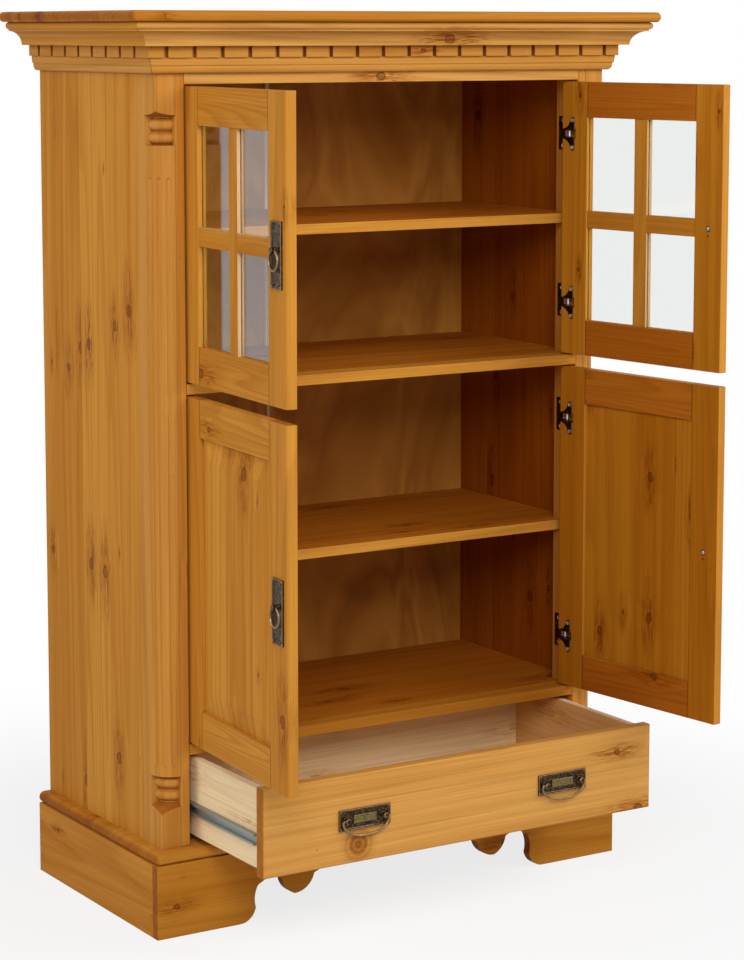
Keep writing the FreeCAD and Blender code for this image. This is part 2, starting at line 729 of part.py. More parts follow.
def hinge_cups(name, side, across, depth, hinges):
    """The hinge halves sunk in a door: two cheeks, the pin between them, and a screwed flange."""
    cups = piece(f"{name}_hinge_cups")
    pin_x = across("pivot_in", "pivot_in")[0]
    pin_y = f"{DOOR_FRONT} + pivot_back"
    back = f"{DOOR_FRONT} + board"
    lobe = hinge_lobe()
    for middle in hinges:
        for start in ("-pocket_half", "pocket_half - cheek"):
            tall = (f"{middle} + {start}", f"{middle} + {start} + cheek")
            block(cups, across("cheek", "pocket_long - cheek"), depth("pocket_floor", "board + flange"), tall)
        rod(cups, "Z", "hinge_pin", "2 * pocket_half", pin_x, pin_y, f"{middle} - pocket_half")
        for end in (-1, 1):
            outline = [lobe_step(step, side, end) for step in lobe]
            feature = pad(cups, "XZ_Plane", outline, "flange", f"-({back}) - flange")
            bind(feature.Profile[0], "AttachmentOffset.Base.y", middle)
            screw = f"{middle} + {end} * (flange_reach - screw_head - cheek)"
            inset = "pocket_long - 1.5 * cheek - screw_head"
            centre = across(inset, inset)[0]
            rod(cups, "Y", "screw_head", "flange + screw_rise", centre, back, screw)


def hinge_arms():
    """The hinge halves on the cabinet: an eye on each pin and a bent arm to a plate on the inner strip."""
    arms = piece("hinge_arms")
    pivot_x = size.door_edge - size.pivot_in
    pivot_y = size.door_face + size.pivot_back
    seat = size.gap + size.pivot_in - size.arm_plate
    half, knee, back = size.arm_thick / 2, size.knee_in, size.knee_back
    for side in (-1, 1):
        path = [
            (-half, 0), (knee - half, back), (-seat, size.seat_back - half),
            (-seat, size.seat_back + half), (knee + half, back + half), (half, 0),
        ]
        outline = [(side * (pivot_x - inward), pivot_y + behind) for inward, behind in path]
        for low, high, _ in LEVELS.values():
            for middle in (f"({low} + hinge_inset)", f"({high} - hinge_inset)"):
                pad(arms, "XY_Plane", outline, "2 * arm_half", f"{middle} - arm_half")
                x = f"{side} * ({DOOR_EDGE} - pivot_in)"
                y = f"{DOOR_FRONT} + pivot_back"
                foot = f"{middle} - arm_half"
                rod(arms, "Z", "eye_radius", "2 * arm_half", x, y, foot)
                rod(arms, "Z", "hinge_pin + pin_clear", "2 * arm_half", x, y, foot, cut=True)
                tall = (f"{middle} - flange_reach", f"{middle} + flange_reach")
                behind = (f"{y} + seat_back - seat_long / 2", f"{y} + seat_back + seat_long / 2")
                block(arms, span(side, f"{OPENING} - arm_plate", OPENING), behind, tall)
                start = f"{OPENING} - arm_plate - screw_rise" if side > 0 else f"-({OPENING} - arm_plate)"
                for end in ("+", "-"):
                    height = f"{middle} {end} (flange_reach - 2 * screw_head)"
                    rod(arms, "X", "screw_head", "screw_rise", start, f"{y} + seat_back", height)


def drawer():
    made = len(nodes)
    inner = f"({DRAWER_SIDE} - drawer_side)"
    slot = f"({DRAWER_SIDE} - drawer_side / 2)"
    rear = f"({DOOR_FRONT} + drawer_front)"
    end = f"({DOOR_FRONT} + drawer_front + drawer_length)"
    low, high = "drawer_side_low", "drawer_side_high"
    bottom = ("drawer_bottom_low", "drawer_bottom_low + drawer_bottom")
    groove = (f"{rear} - drawer_side / 2", rear)
    wide = f"({OPENING} - 1.5 * drawer_gap)"
    front = piece("drawer_front")
    block(front, (f"-{wide}", wide), (DOOR_FRONT, rear), ("base_top + drawer_gap", "drawer_top - drawer_gap"))
    round_edges(front, lambda point: abs(point.y - size.door_face) < TOUCH, "edge_round")
    block(front, (f"-{slot}", slot), groove, bottom, cut=True)
    sides = piece("drawer_sides")
    runners = piece("drawer_runners")
    bars = piece("cabinet_runners")
    for side in (-1, 1):
        block(sides, span(side, inner, DRAWER_SIDE), (rear, end), (low, high))
        block(sides, span(side, inner, slot), (rear, end), bottom, cut=True)
        lip = f"({OPENING} - drawer_gap)"
        hollow = f"({DRAWER_SIDE} + runner_wall)"
        reach = (f"{rear} + runner_short", f"{end} - runner_short")
        tall = ("runner_mid - runner_half", "runner_mid + runner_half")
        room = ("runner_mid - runner_bar - runner_clear", "runner_mid + runner_bar + runner_clear")
        block(runners, span(side, DRAWER_SIDE, lip), reach, tall)
        block(runners, span(side, hollow, lip), reach, room, cut=True)
        bar = ("runner_mid - runner_bar", "runner_mid + runner_bar")
        block(bars, span(side, f"{hollow} + runner_clear", OPENING), reach, bar)
    block(piece("drawer_back"), (f"-{inner}", inner), (f"{end} - drawer_side", end), (bottom[1], high))
    block(piece("drawer_bottom"), (f"-{slot}", slot), (groove[0], end), bottom)
    bails()
    for label in list(nodes)[made:]:
        if label != "cabinet_runners":
            bind(nodes[label], "Placement.Base.y", "-drawer_out")


def bails():
    """Two pull plates on the drawer front, each with a half-round bail on two posts."""
    plates = piece("drawer_pull_plates")
    middle = "(0.5 * (base_top + drawer_top))"
    hole = f"({DOOR_FRONT} - ring_out)"
    floor = "plate_sink - plate_thick"
    for side, word in ((-1, "left"), (1, "right")):
        place_x = f"({side} * bail_place)"
        half, tall = "bail_plate_half", "bail_plate_tall / 2"
        block(plates, (f"{place_x} - {half}", f"{place_x} + {half}"),
              (f"{DOOR_FRONT} - plate_thick", DOOR_FRONT),
              (f"{middle} - {tall}", f"{middle} + {tall}"))
        half, tall = "(bail_plate_half - plate_rim)", "(bail_plate_tall / 2 - plate_rim)"
        block(plates, (f"{place_x} - {half}", f"{place_x} + {half}"),
              (f"{DOOR_FRONT} - plate_thick", f"{DOOR_FRONT} + {floor}"),
              (f"{middle} - {tall}", f"{middle} + {tall}"), cut=True)
        block(plates, (f"{place_x} - badge_half", f"{place_x} + badge_half"),
              (f"{DOOR_FRONT} - plate_thick", f"{DOOR_FRONT} + {floor}"),
              (f"{middle} - badge_tall / 2", f"{middle} + badge_tall / 2"))
        bail = piece(f"drawer_bail_{word}")
        loop = bail.newObject("PartDesign::AdditiveTorus", "Loop")
        loop.Placement = FreeCAD.Placement(FreeCAD.Vector(), AXES["Y"])
        bind(loop, "Radius1", "bail_radius")
        bind(loop, "Radius2", "bail_tube")
        loop.Angle3 = 180
        place(loop, place_x, hole, middle)
        for end in (-1, 1):
            post = f"({place_x} + {end} * bail_post_place)"
            rod(plates, "Y", "bail_post_radius", f"bail_out + ring_out + {floor} - plate_sink", post,
                f"{hole} - bail_out + plate_sink", middle)
            rod(plates, "X", "bail_pin + pin_clear", "4 * bail_post_radius",
                f"{post} - 2 * bail_post_radius", hole, middle, cut=True)
            tip = "(bail_post_place + bail_post_radius)"
            start = f"{place_x} + bail_radius" if end > 0 else f"{place_x} - {tip}"
            rod(bail, "X", "bail_pin", f"{tip} - bail_radius", start, hole, middle)


carcass()
plinth()
cornice()
for word, side in (("left", -1), ("right", 1)):
    for level in LEVELS:
        door(level, side, word)
hinge_arms()
drawer()
doc.recompute()

for thing in doc.Objects:
    if "Invalid" in thing.State or "Error" in thing.State:
        raise RuntimeError(f"{thing.Name} of {thing.Label} failed: {thing.State}")
os.makedirs("parts", exist_ok=True)
for label, body in nodes.items():
    shape = body.Shape
    if shape.isNull() or not shape.isValid() or shape.Volume <= 0:
        raise RuntimeError(f"{label} has no valid shape")
    shape.exportStep(f"parts/{label}.step")
    box = shape.BoundBox
    print(f"{label}: {len(shape.Solids)} solids, {shape.Volume / 1000:.1f} cm3, "
          f"x {box.XMin:.1f} {box.XMax:.1f} y {box.YMin:.1f} {box.YMax:.1f} z {box.ZMin:.1f} {box.ZMax:.1f}")
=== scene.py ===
import json
import math
from functools import partial

import bmesh
import bpy
from mathutils import Euler, Matrix, Vector
from mathutils.geometry import interpolate_bezier


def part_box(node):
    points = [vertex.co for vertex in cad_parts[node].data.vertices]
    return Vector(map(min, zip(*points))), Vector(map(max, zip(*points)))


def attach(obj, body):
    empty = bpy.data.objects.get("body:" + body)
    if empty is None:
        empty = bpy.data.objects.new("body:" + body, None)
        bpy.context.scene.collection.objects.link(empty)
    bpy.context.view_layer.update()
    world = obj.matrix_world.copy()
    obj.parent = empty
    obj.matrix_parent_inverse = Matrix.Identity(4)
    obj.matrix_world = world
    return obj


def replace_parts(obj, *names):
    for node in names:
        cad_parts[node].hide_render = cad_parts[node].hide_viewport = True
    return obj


bl_info = {
    "name": "Pine Highboard",
    "version": (1, 0, 0),
    "blender": (4, 5, 0),
    "location": "3D View > Sidebar > Highboard",
    "description": "Finishes a pine highboard with its hardware, glass and studio",
    "category": "Object",
}

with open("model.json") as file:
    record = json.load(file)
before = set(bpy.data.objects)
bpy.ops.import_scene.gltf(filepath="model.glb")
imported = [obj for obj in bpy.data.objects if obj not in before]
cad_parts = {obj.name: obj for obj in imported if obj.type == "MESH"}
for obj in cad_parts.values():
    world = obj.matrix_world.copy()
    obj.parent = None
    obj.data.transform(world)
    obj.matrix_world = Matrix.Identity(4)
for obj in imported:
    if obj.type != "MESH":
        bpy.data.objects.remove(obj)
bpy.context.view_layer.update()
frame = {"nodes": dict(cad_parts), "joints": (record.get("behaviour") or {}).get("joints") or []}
nodes = frame["nodes"]

MM = 0.001
# How far the doors stand open, in degrees.
OPEN = {"left": -94.5, "right": 97.0}


def linear(code):
    """An sRGB hex colour as linear RGBA."""
    channels = [int(code[i:i + 2], 16) / 255 for i in (1, 3, 5)]
    return [c / 12.92 if c <= 0.04045 else ((c + 0.055) / 1.055) ** 2.4 for c in channels] + [1.0]


def add(tree, kind, inputs=None, **settings):
    """Add one shader node with its settings; an input is a value, an output, or a node for its first output."""
    node = tree.nodes.new(kind if kind.startswith("NodeGroup") else f"ShaderNode{kind}")
    for key, value in settings.items():
        setattr(node, key, value)
    for key, value in (inputs or {}).items():
        if isinstance(value, bpy.types.Node):
            value = value.outputs[0]
        if isinstance(value, bpy.types.NodeSocket):
            tree.links.new(value, node.inputs[key])
        else:
            node.inputs[key].default_value = value
    return node


def colour(name, text, code):
    return bpy.props.FloatVectorProperty(
        name=name, description=text, subtype="COLOR", size=4, min=0, max=1, default=linear(code))


def number(name, text, value, **kind):
    return bpy.props.FloatProperty(name=name, description=text, default=value, **kind)


class PineFinish(bpy.types.PropertyGroup):
    """The stained and waxed pine, and the unstained pine of the drawer."""
    early: colour("Early wood", "The wide pale part of each ring under honey stain", "#CC8E36")
    # A paler copy of the early wood for the faces that meet the lamps: painted light.
    front: colour("Faded early wood", "Early wood of the front, which daylight has paled", "#D09A50")
    late: colour("Late wood", "The narrow dark part of each ring under honey stain", "#93500F")
    amber: colour("Heartwood", "The deeper bands that the stain turns amber", "#B4721F")
    knot: colour("Knot", "The heart of a stained knot", "#6B3208")
    worn: colour("Worn edge", "Where the stain has been rubbed thin", "#D9A455")
    # Multiplied over the shelves, the drawer sides' inner faces and the door rails' backs, this tint is painted
    # shade; mixed over the glazing bars' narrow faces, it makes them paler.
    shade_and_pale_edges: colour("Unfaded", "Tint of the stain on the shelves, out of the daylight", "#E7C8A0")
    # Multiplied over the doors' inner faces, this tint is painted shade.
    door_back_shade: colour("Sheltered", "Tint of the stain on the backs of the doors", "#EDDFA2")
    # Besides the end grain, this tint is multiplied over the side panels' inner faces as painted shade.
    deep_stain_and_shade: colour("Deep stain", "Tint of the deepest stain, on end grain and inside the sides", "#C49A62")
    pale_early: colour("Pale early wood", "Early wood with no stain", "#EED3A8")
    pale_late: colour("Pale late wood", "Late wood with no stain", "#D6AE78")
    ply_early: colour("Plywood", "The stained face of the back", "#C88838")
    ply_late: colour("Plywood figure", "The figure of the stained back", "#98591A")
    ply_pale: colour("Pale plywood", "The unstained face of the drawer's bottom", "#F0D8B2")
    stave: number("Stave width", "Width of the strips that the boards are glued from", 92.0 * MM, unit="LENGTH")
    edge: number("Edge round", "How far the corners of the boards are eased", 1.4 * MM, unit="LENGTH")


class HardwareFinish(bpy.types.PropertyGroup):
    """The antique bronze pulls and hinges and the plated steel."""
    bronze: colour("Bronze", "Dark patina in the hollows", "#2C221B")
    rubbed: colour("Rubbed bronze", "Brass that shows where hands rub", "#AE8C62")
    brass: colour("Aged brass", "The badges in the middle of the drawer's plates", "#7A6C42")
    screw: colour("Screw", "Bright nickel of the screws", "#D6D4D6")
    zinc: colour("Zinc plate", "Dull plated steel", "#9BA09C")
    strip: colour("Joint strip", "White strip between the back panels", "#E4E0D6")
    glass: colour("Glass", "Clear float glass", "#F4F8F6")


class StudioSettings(bpy.types.PropertyGroup):
    """The light and the camera."""
    ambient: number("Ambient", "Strength of the soft light", 0.17)
    key: number("Key", "Power of the large right lamp", 95.0, unit="POWER")
    fill: number("Fill", "Power of the side lamp", 60.0, unit="POWER")
    front: number("Front", "Power of the front lamp", 104.0, unit="POWER")
    lens: number("Lens", "Focal length", 101.698, subtype="DISTANCE_CAMERA")
    shift: number("Shift", "Upward shift of the picture", -0.12)


def drawn_out(tree, at, waves, **look):
    """Noise with so many waves to the metre across, through and along."""
    at = add(tree, "VectorMath", {0: at, 1: waves}, operation="MULTIPLY")
    return add(tree, "TexNoise", {"Vector": at, "Scale": 1.0, **look})


def pine_figure():
    """The figure of a pine board as a node group: rings, knots and fibres around a vector along the board.

    The vector holds metres across the board, through it and along its grain.
    """
    name = "Pine figure"
    if name in bpy.data.node_groups:
        return bpy.data.node_groups[name]
    tree = bpy.data.node_groups.new(name, "ShaderNodeTree")
    for label, kind in (("Vector", "NodeSocketVector"), ("Stave", "NodeSocketFloat"), ("Rings", "NodeSocketFloat")):
        tree.interface.new_socket(label, in_out="INPUT", socket_type=kind)
    for label in ("Late", "Knot", "Flame", "Streak", "Tone"):
        tree.interface.new_socket(label, in_out="OUTPUT", socket_type="NodeSocketFloat")
    given = add(tree, "NodeGroupInput")
    board = add(tree, "ObjectInfo").outputs["Random"]
    across = add(tree, "SeparateXYZ", {0: given.outputs["Vector"]}).outputs["X"]

    # Each glued stave is its own piece of wood, so it has its own place in the tree and its own tone. The factors
    # only spread the random numbers.
    place = add(tree, "Math", {0: across, 1: given.outputs["Stave"]}, operation="DIVIDE")
    place = add(tree, "Math", {0: board, 1: 7.3, 2: place}, operation="MULTIPLY_ADD")
    stave = add(tree, "Math", {0: place}, operation="FLOOR")
    pick = add(tree, "Math", {0: board, 1: 31.7, 2: stave}, operation="MULTIPLY_ADD")
    pick = add(tree, "TexWhiteNoise", {"W": pick}, noise_dimensions="1D")
    away = add(tree, "VectorMath", {0: pick.outputs["Color"], "Scale": 5.0}, operation="SCALE")
    inside = add(tree, "VectorMath", {0: given.outputs["Vector"], 1: away}, operation="ADD")

    # Knots are branches that run through the board. They stand in whorls, some 330 mm apart along the grain. A knot
    # is drawn a quarter longer along the grain than across, and the flame beside it almost four times as long.
    cell, knot_cell, flame_cell = (0.05, 0.33, 1.0), (0.05, 0.26, 0), (0.05, 0.09, 0)
    spread = add(tree, "SeparateXYZ", {0: inside})
    flat = add(tree, "CombineXYZ", {0: spread.outputs["X"], 1: spread.outputs["Z"]})
    flat = add(tree, "VectorMath", {0: flat, 1: cell}, operation="DIVIDE")
    near = add(tree, "TexVoronoi", {"Vector": flat, "Scale": 1.0, "Randomness": 0.5}, voronoi_dimensions="2D")
    apart = add(tree, "VectorMath", {0: near.outputs["Position"], 1: flat}, operation="SUBTRACT")
    reaches = []
    for size in (knot_cell, flame_cell):
        reach = add(tree, "VectorMath", {0: apart, 1: size}, operation="MULTIPLY")
        reaches.append(add(tree, "VectorMath", {0: reach}, operation="LENGTH").outputs["Value"])
    reach, drawn = reaches
    ragged = add(tree, "TexNoise", {"Vector": inside, "Scale": 130.0, "Detail": 1.0})
    ragged = add(tree, "Math", {0: ragged, 1: 0.005, 2: -0.0025}, operation="MULTIPLY_ADD")
    reach = add(tree, "Math", {0: reach, 1: ragged}, operation="ADD")
    chance = add(tree, "SeparateColor", {0: near.outputs["Color"]})
    radius = add(tree, "MapRange", {"Value": chance.outputs["Red"], 1: 0.52, 2: 1.0, 3: 0.0, 4: 0.0085})
    depth = add(tree, "Math", {0: radius, 1: reach}, operation="SUBTRACT")
    rim = add(tree, "MapRange", {"Value": depth, 1: -0.0008, 2: 0.001, 3: 0.0, 4: 1.0})
    core = add(tree, "MapRange", {"Value": depth, 1: 0.001, 2: 0.003, 3: 1.0, 4: 0.62})
    knot = add(tree, "Math", {0: rim, 1: core}, operation="MULTIPLY")
    girth = add(tree, "Math", {0: radius, 1: 2.4, 2: 0.004}, operation="MULTIPLY_ADD")
    ratio = add(tree, "Math", {0: reach, 1: girth}, operation="DIVIDE")
    ratio = add(tree, "Math", {0: ratio, 1: ratio}, operation="MULTIPLY")
    swirl = add(tree, "Math", {0: 0.0, 1: ratio}, operation="SUBTRACT")
    swirl = add(tree, "Math", {0: swirl}, operation="EXPONENT")
    swirl = add(tree, "Math", {0: swirl, 1: radius}, operation="MULTIPLY")

    # Brown fibres flow past a knot for some way along the grain, broken into flecks.
    flame = add(tree, "Math", {0: radius, 1: 2.4, 2: 0.0005}, operation="MULTIPLY_ADD")
    flame = add(tree, "Math", {0: drawn, 1: flame}, operation="DIVIDE")
    flame = add(tree, "MapRange", {"Value": flame, 1: 0.4, 2: 1.5, 3: 1.0, 4: 0.0}, interpolation_type="SMOOTHSTEP")
    fleck = drawn_out(tree, inside, (280.0, 280.0, 30.0), Distortion=1.2)
    fleck = add(tree, "MapRange", {"Value": fleck, 1: 0.4, 2: 0.62, 3: 0.15, 4: 1.0})
    flame = add(tree, "Math", {0: flame, 1: fleck}, operation="MULTIPLY")

    # Rings are contours of a slow field drawn out along the grain, pushed aside by the knots.
    field = drawn_out(tree, inside, (9.0, 9.0, 0.30), Detail=1.0, Roughness=0.35)
    phase = add(tree, "Math", {0: field, 1: given.outputs["Rings"]}, operation="MULTIPLY")
    phase = add(tree, "Math", {0: swirl, 1: 260.0, 2: phase}, operation="MULTIPLY_ADD")
    ring = add(tree, "Math", {0: phase}, operation="FRACT")
    rise = add(tree, "MapRange", {"Value": ring, 1: 0.25, 2: 0.88, 3: 0.0, 4: 1.0}, interpolation_type="SMOOTHSTEP")
    fall = add(tree, "MapRange", {"Value": ring, 1: 0.90, 2: 1.0, 3: 1.0, 4: 0.0})
    late = add(tree, "Math", {0: rise, 1: fall}, operation="MULTIPLY")

    # Fibres are about a millimetre wide here, coarser than life, so that they show.
    streak = drawn_out(tree, inside, (420.0, 420.0, 5.0))
    broad = drawn_out(tree, inside, (38.0, 38.0, 0.8), Detail=1.0)
    tone = add(tree, "Math", {0: broad, 1: 0.9, 2: pick.outputs["Value"]}, operation="MULTIPLY_ADD")
    add(tree, "NodeGroupOutput", {"Late": late, "Knot": knot, "Flame": flame, "Streak": streak, "Tone": tone})
    return tree


def start(name):
    """A new material's node tree, emptied."""
    material = bpy.data.materials.new(name)
    material.use_nodes = True
    material.node_tree.nodes.clear()
    return material, material.node_tree


def closed_axes(tree, source, turn=0.0):
    """The axes of an object's points or normals, with a door turned back from where it stands open."""
    at = add(tree, "TexCoord").outputs[source]
    if turn:
        at = add(tree, "Mapping", {"Vector": at, "Rotation": (0, 0, -math.radians(turn))})
    return dict(zip("xyz", add(tree, "SeparateXYZ", {0: at}).outputs))


def closed_middle(node, turn):
    """The middle of a door's node, with the door turned back from where it stands open."""
    low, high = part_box(node)
    return Matrix.Rotation(-math.radians(turn), 3, "Z") @ ((low + high) / 2)


def board_vector(tree, order, turn=0.0, other=None, where=None):
    """Metres across, through and along a board, and how squarely a face cuts across its grain.

    The order names the axes that these are, and doors are turned back to closed. Where a test says so, another
    order holds.
    """
    found = []
    share = None
    for source in ("Object", "Normal"):
        axes = closed_axes(tree, source, turn)
        vector = add(tree, "CombineXYZ", {i: axes[axis] for i, axis in enumerate(order)})
        if other:
            share = where(tree, axes) if share is None else share
            second = add(tree, "CombineXYZ", {i: axes[axis] for i, axis in enumerate(other)})
            vector = add(tree, "Mix", {0: share, 4: vector, 5: second}, data_type="VECTOR").outputs[1]
        found.append(vector)
    along = add(tree, "SeparateXYZ", {0: found[1]}).outputs["Z"]
    return found[0], add(tree, "Math", {0: along}, operation="ABSOLUTE")


def eased_edges(tree, radius, blunt, sharp, share):
    """A normal that rounds the edges, and how far they are rubbed: not where blunt, and by a share where sharp."""
    eased = add(tree, "Bevel", {"Radius": radius}, samples=4)
    true = add(tree, "NewGeometry").outputs["Normal"]
    bend = add(tree, "VectorMath", {0: eased, 1: true}, operation="DOT_PRODUCT").outputs["Value"]
    return eased, add(tree, "MapRange", {"Value": bend, 1: blunt, 2: sharp, 3: 0.0, 4: share})


# The large knot in the drawer's front: its place up from the lower edge and across from the middle, the radii between
# which its dark heart and amber halo fade, how far fibres blur them, and half the distance between its growth rings.
KNOT_UP, KNOT_ACROSS = 27.5 * MM, -192 * MM
HEART, HALO, BLUR, HALF_RING = (12 * MM, 19 * MM), (18 * MM, 36 * MM), 3 * MM, 5 * MM


def large_knot(tree, wood, at, middle, fibres, late):
    """Draw one large round knot with growth rings over the wood."""
    away = add(tree, "VectorMath", {0: at, 1: middle}, operation="DISTANCE").outputs["Value"]
    away = add(tree, "Math", {0: fibres, 1: BLUR, 2: away}, operation="MULTIPLY_ADD")
    ring = add(tree, "Math", {0: away, 1: HALF_RING}, operation="DIVIDE")
    ring = add(tree, "Math", {0: ring, 1: 1.0}, operation="PINGPONG")
    ring = add(tree, "MapRange", {"Value": ring, 1: 0.0, 2: 1.0, 3: 0.45, 4: 1.0})
    for (full, none), share, tint in ((HALO, 0.8, late), (HEART, 0.6, bpy.context.scene.highboard_pine.knot)):
        mark = add(tree, "MapRange", {"Value": away, 1: full, 2: none, 3: share, 4: 0.0})
        mark = add(tree, "Math", {0: mark, 1: ring}, operation="MULTIPLY")
        wood = add(tree, "Mix", {0: mark, 6: wood, 7: tint}, data_type="RGBA").outputs[2]
    return wood


def pine(name, order, early, amber, late, turn=0.0, other=None, where=None, figure=0.24, rings=18.0, stave=None,
         rough=0.5, inside=None, bare=None, hearts=0.9, mark=None):
    """Planed softwood: drifting bands of tone, thin late wood, red-brown knots, a low sheen, eased edges.

    Inside multiplies its tint in as painted shade, and bare covers the stain with its tint. A mark is a large knot.
    """
    finish = bpy.context.scene.highboard_pine
    material, tree = start(name)
    at, ends = board_vector(tree, order, turn, other, where)
    grain = add(tree, "Group", {"Vector": at, "Stave": stave or finish.stave, "Rings": rings},
                node_tree=pine_figure())
    ring, fibres = grain.outputs["Late"], grain.outputs["Streak"]
    deep = add(tree, "MapRange", {"Value": grain.outputs["Tone"], 1: 0.35, 2: 1.55, 3: 1.0, 4: 0.0})
    share = add(tree, "Math", {0: ring, 1: figure}, operation="MULTIPLY")
    share = add(tree, "Math", {0: share, 1: grain.outputs["Flame"]}, operation="MAXIMUM")
    heart = add(tree, "Math", {0: grain.outputs["Knot"], 1: hearts}, operation="MULTIPLY")
    wood = early
    for over, tint in ((deep, amber), (share, late), (heart, finish.knot)):
        wood = add(tree, "Mix", {0: over, 6: wood, 7: tint}, data_type="RGBA").outputs[2]
    if mark:
        wood = large_knot(tree, wood, at, mark, fibres, late)
    value = add(tree, "Math", {0: fibres, 1: 0.5, 2: 0.77}, operation="MULTIPLY_ADD")
    wood = add(tree, "HueSaturation", {"Value": value, "Color": wood})
    # End grain drinks the stain and turns deep brown.
    deep_stain_and_shade = add(tree, "MapRange", {"Value": ends, 1: 0.3, 2: 0.95, 3: 0.0, 4: 0.8})
    eased, corner = eased_edges(tree, finish.edge, 0.97, 0.72, 0.45)
    layers = [("MULTIPLY", deep_stain_and_shade, finish.deep_stain_and_shade), ("MIX", corner, finish.worn)]
    # This tint, multiplied over the faces that the test marks, is painted shade.
    if inside:
        test, tint = inside
        layers.insert(1, ("MULTIPLY", test(tree), tint))
    if bare:
        test, tint = bare
        layers.append(("MIX", test(tree), tint))
    for blend, over, tint in layers:
        wood = add(tree, "Mix", {0: over, 6: wood, 7: tint}, data_type="RGBA", blend_type=blend).outputs[2]
    height = add(tree, "Math", {0: ring, 1: 0.5, 2: fibres}, operation="MULTIPLY_ADD")
    relief = add(tree, "Bump", {"Strength": 0.16, "Distance": 0.0004, "Height": height, "Normal": eased})
    dull = add(tree, "Math", {0: ring, 1: 0.08, 2: rough}, operation="MULTIPLY_ADD")
    skin = add(tree, "BsdfPrincipled", {
        "Base Color": wood, "Roughness": dull, "Normal": relief, "IOR": 1.5, "Specular IOR Level": 0.06})
    add(tree, "OutputMaterial", {"Surface": skin})
    return material


def within(half, front, tree):
    """A test that is one nearer the middle than a half width and behind a front."""
    axes = closed_axes(tree, "Object")
    out = add(tree, "Math", {0: axes["x"]}, operation="ABSOLUTE")
    between = add(tree, "Math", {0: out, 1: half}, operation="LESS_THAN")
    behind = add(tree, "Math", {0: axes["y"], 1: front}, operation="GREATER_THAN")
    return add(tree, "Math", {0: between, 1: behind}, operation="MULTIPLY")


def on_back(turn, tree):
    """A test that is one on the inner face of a door that stands open."""
    back = closed_axes(tree, "Normal", turn)["y"]
    return add(tree, "MapRange", {"Value": back, 1: 0.3, 2: 0.7, 3: 0.0, 4: 1.0})


def on_edges(turn, share, tree):
    """A test that is a share on the narrow faces round a door's bars and stiles."""
    flat = add(tree, "Math", {0: closed_axes(tree, "Normal", turn)["y"]}, operation="ABSOLUTE")
    return add(tree, "MapRange", {"Value": flat, 1: 0.3, 2: 0.7, 3: share, 4: 0.0})


def dress(material, *names):
    """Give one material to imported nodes."""
    for name in names:
        for slot in nodes[name].material_slots:
            slot.link = "OBJECT"
            slot.material = material


def plywood(name, early, late, patches=0.55):
    """Rotary-cut veneer under stain: wide drifting figure and dark patches round the knots, little sheen."""
    finish = bpy.context.scene.highboard_pine
    material, tree = start(name)
    at = add(tree, "TexCoord").outputs["Object"]
    # A rotary cut draws the rings out to bands some 60 mm wide.
    band = drawn_out(tree, at, (5.5, 1.0, 2.2), Detail=3.0, Distortion=0.9)
    for step, by in (("MULTIPLY", 5.0), ("PINGPONG", 0.5), ("MULTIPLY", 1.3)):
        band = add(tree, "Math", {0: band, 1: by}, operation=step)
    wood = add(tree, "Mix", {0: band, 6: early, 7: late}, data_type="RGBA")
    patch = add(tree, "TexNoise", {"Vector": at, "Scale": 6.5})
    patch = add(tree, "MapRange", {"Value": patch, 1: 0.60, 2: 0.78, 3: 0.0, 4: patches})
    wood = add(tree, "Mix", {0: patch, 6: wood.outputs[2], 7: finish.knot}, data_type="RGBA")
    pores = drawn_out(tree, at, (420.0, 420.0, 12.0))
    relief = add(tree, "Bump", {"Strength": 0.15, "Distance": 0.0003, "Height": pores})
    skin = add(tree, "BsdfPrincipled", {
        "Base Color": wood.outputs[2], "Roughness": 0.52, "Normal": relief, "Specular IOR Level": 0.13})
    add(tree, "OutputMaterial", {"Surface": skin})
    return material


# How far from a hinge's pin its eye is nickel, and half the white nose of the back's joint strip.
NICKEL_EYE, HALF_NOSE = 9 * MM, 1.6 * MM


def antique_bronze(name, worn=0.0, pins=None):
    """Cast zinc under a bronze patina: near black in the hollows, brassy where hands and cloths rub the edges."""
    finish = bpy.context.scene.highboard_hardware
    material, tree = start(name)
    at = add(tree, "TexCoord").outputs["Object"]
    eased, corner = eased_edges(tree, 0.9 * MM, 0.99, 0.80, 0.75)
    # Patina gathers in blotches about 4 mm across.
    blotch = add(tree, "TexNoise", {"Vector": at, "Scale": 250.0, "Detail": 3.0})
    rub = add(tree, "MapRange", {"Value": blotch, 1: 0.42, 2: 0.75, 3: worn, 4: worn + 0.3})
    rub = add(tree, "Math", {0: rub, 1: corner}, operation="MAXIMUM")
    metal = add(tree, "Mix", {0: rub, 6: finish.bronze, 7: finish.rubbed}, data_type="RGBA")
    if pins:
        # The eye of each hinge, round its pin, is nickel.
        spread = add(tree, "SeparateXYZ", {0: at})
        out = add(tree, "Math", {0: spread.outputs["X"]}, operation="ABSOLUTE")
        out = add(tree, "CombineXYZ", {0: out, 1: spread.outputs["Y"]})
        away = add(tree, "VectorMath", {0: out, 1: pins}, operation="DISTANCE").outputs["Value"]
        near = add(tree, "Math", {0: away, 1: NICKEL_EYE}, operation="LESS_THAN")
        metal = add(tree, "Mix", {0: near, 6: metal.outputs[2], 7: finish.screw}, data_type="RGBA")
    dull = add(tree, "MapRange", {"Value": rub, 1: 0.0, 2: 1.0, 3: 0.46, 4: 0.28})
    relief = add(tree, "Bump", {"Strength": 0.2, "Distance": 0.0002, "Height": blotch, "Normal": eased})
    skin = add(tree, "BsdfPrincipled", {
        "Base Color": metal.outputs[2], "Metallic": 1.0, "Roughness": dull, "Normal": relief})
    add(tree, "OutputMaterial", {"Surface": skin})
    return material


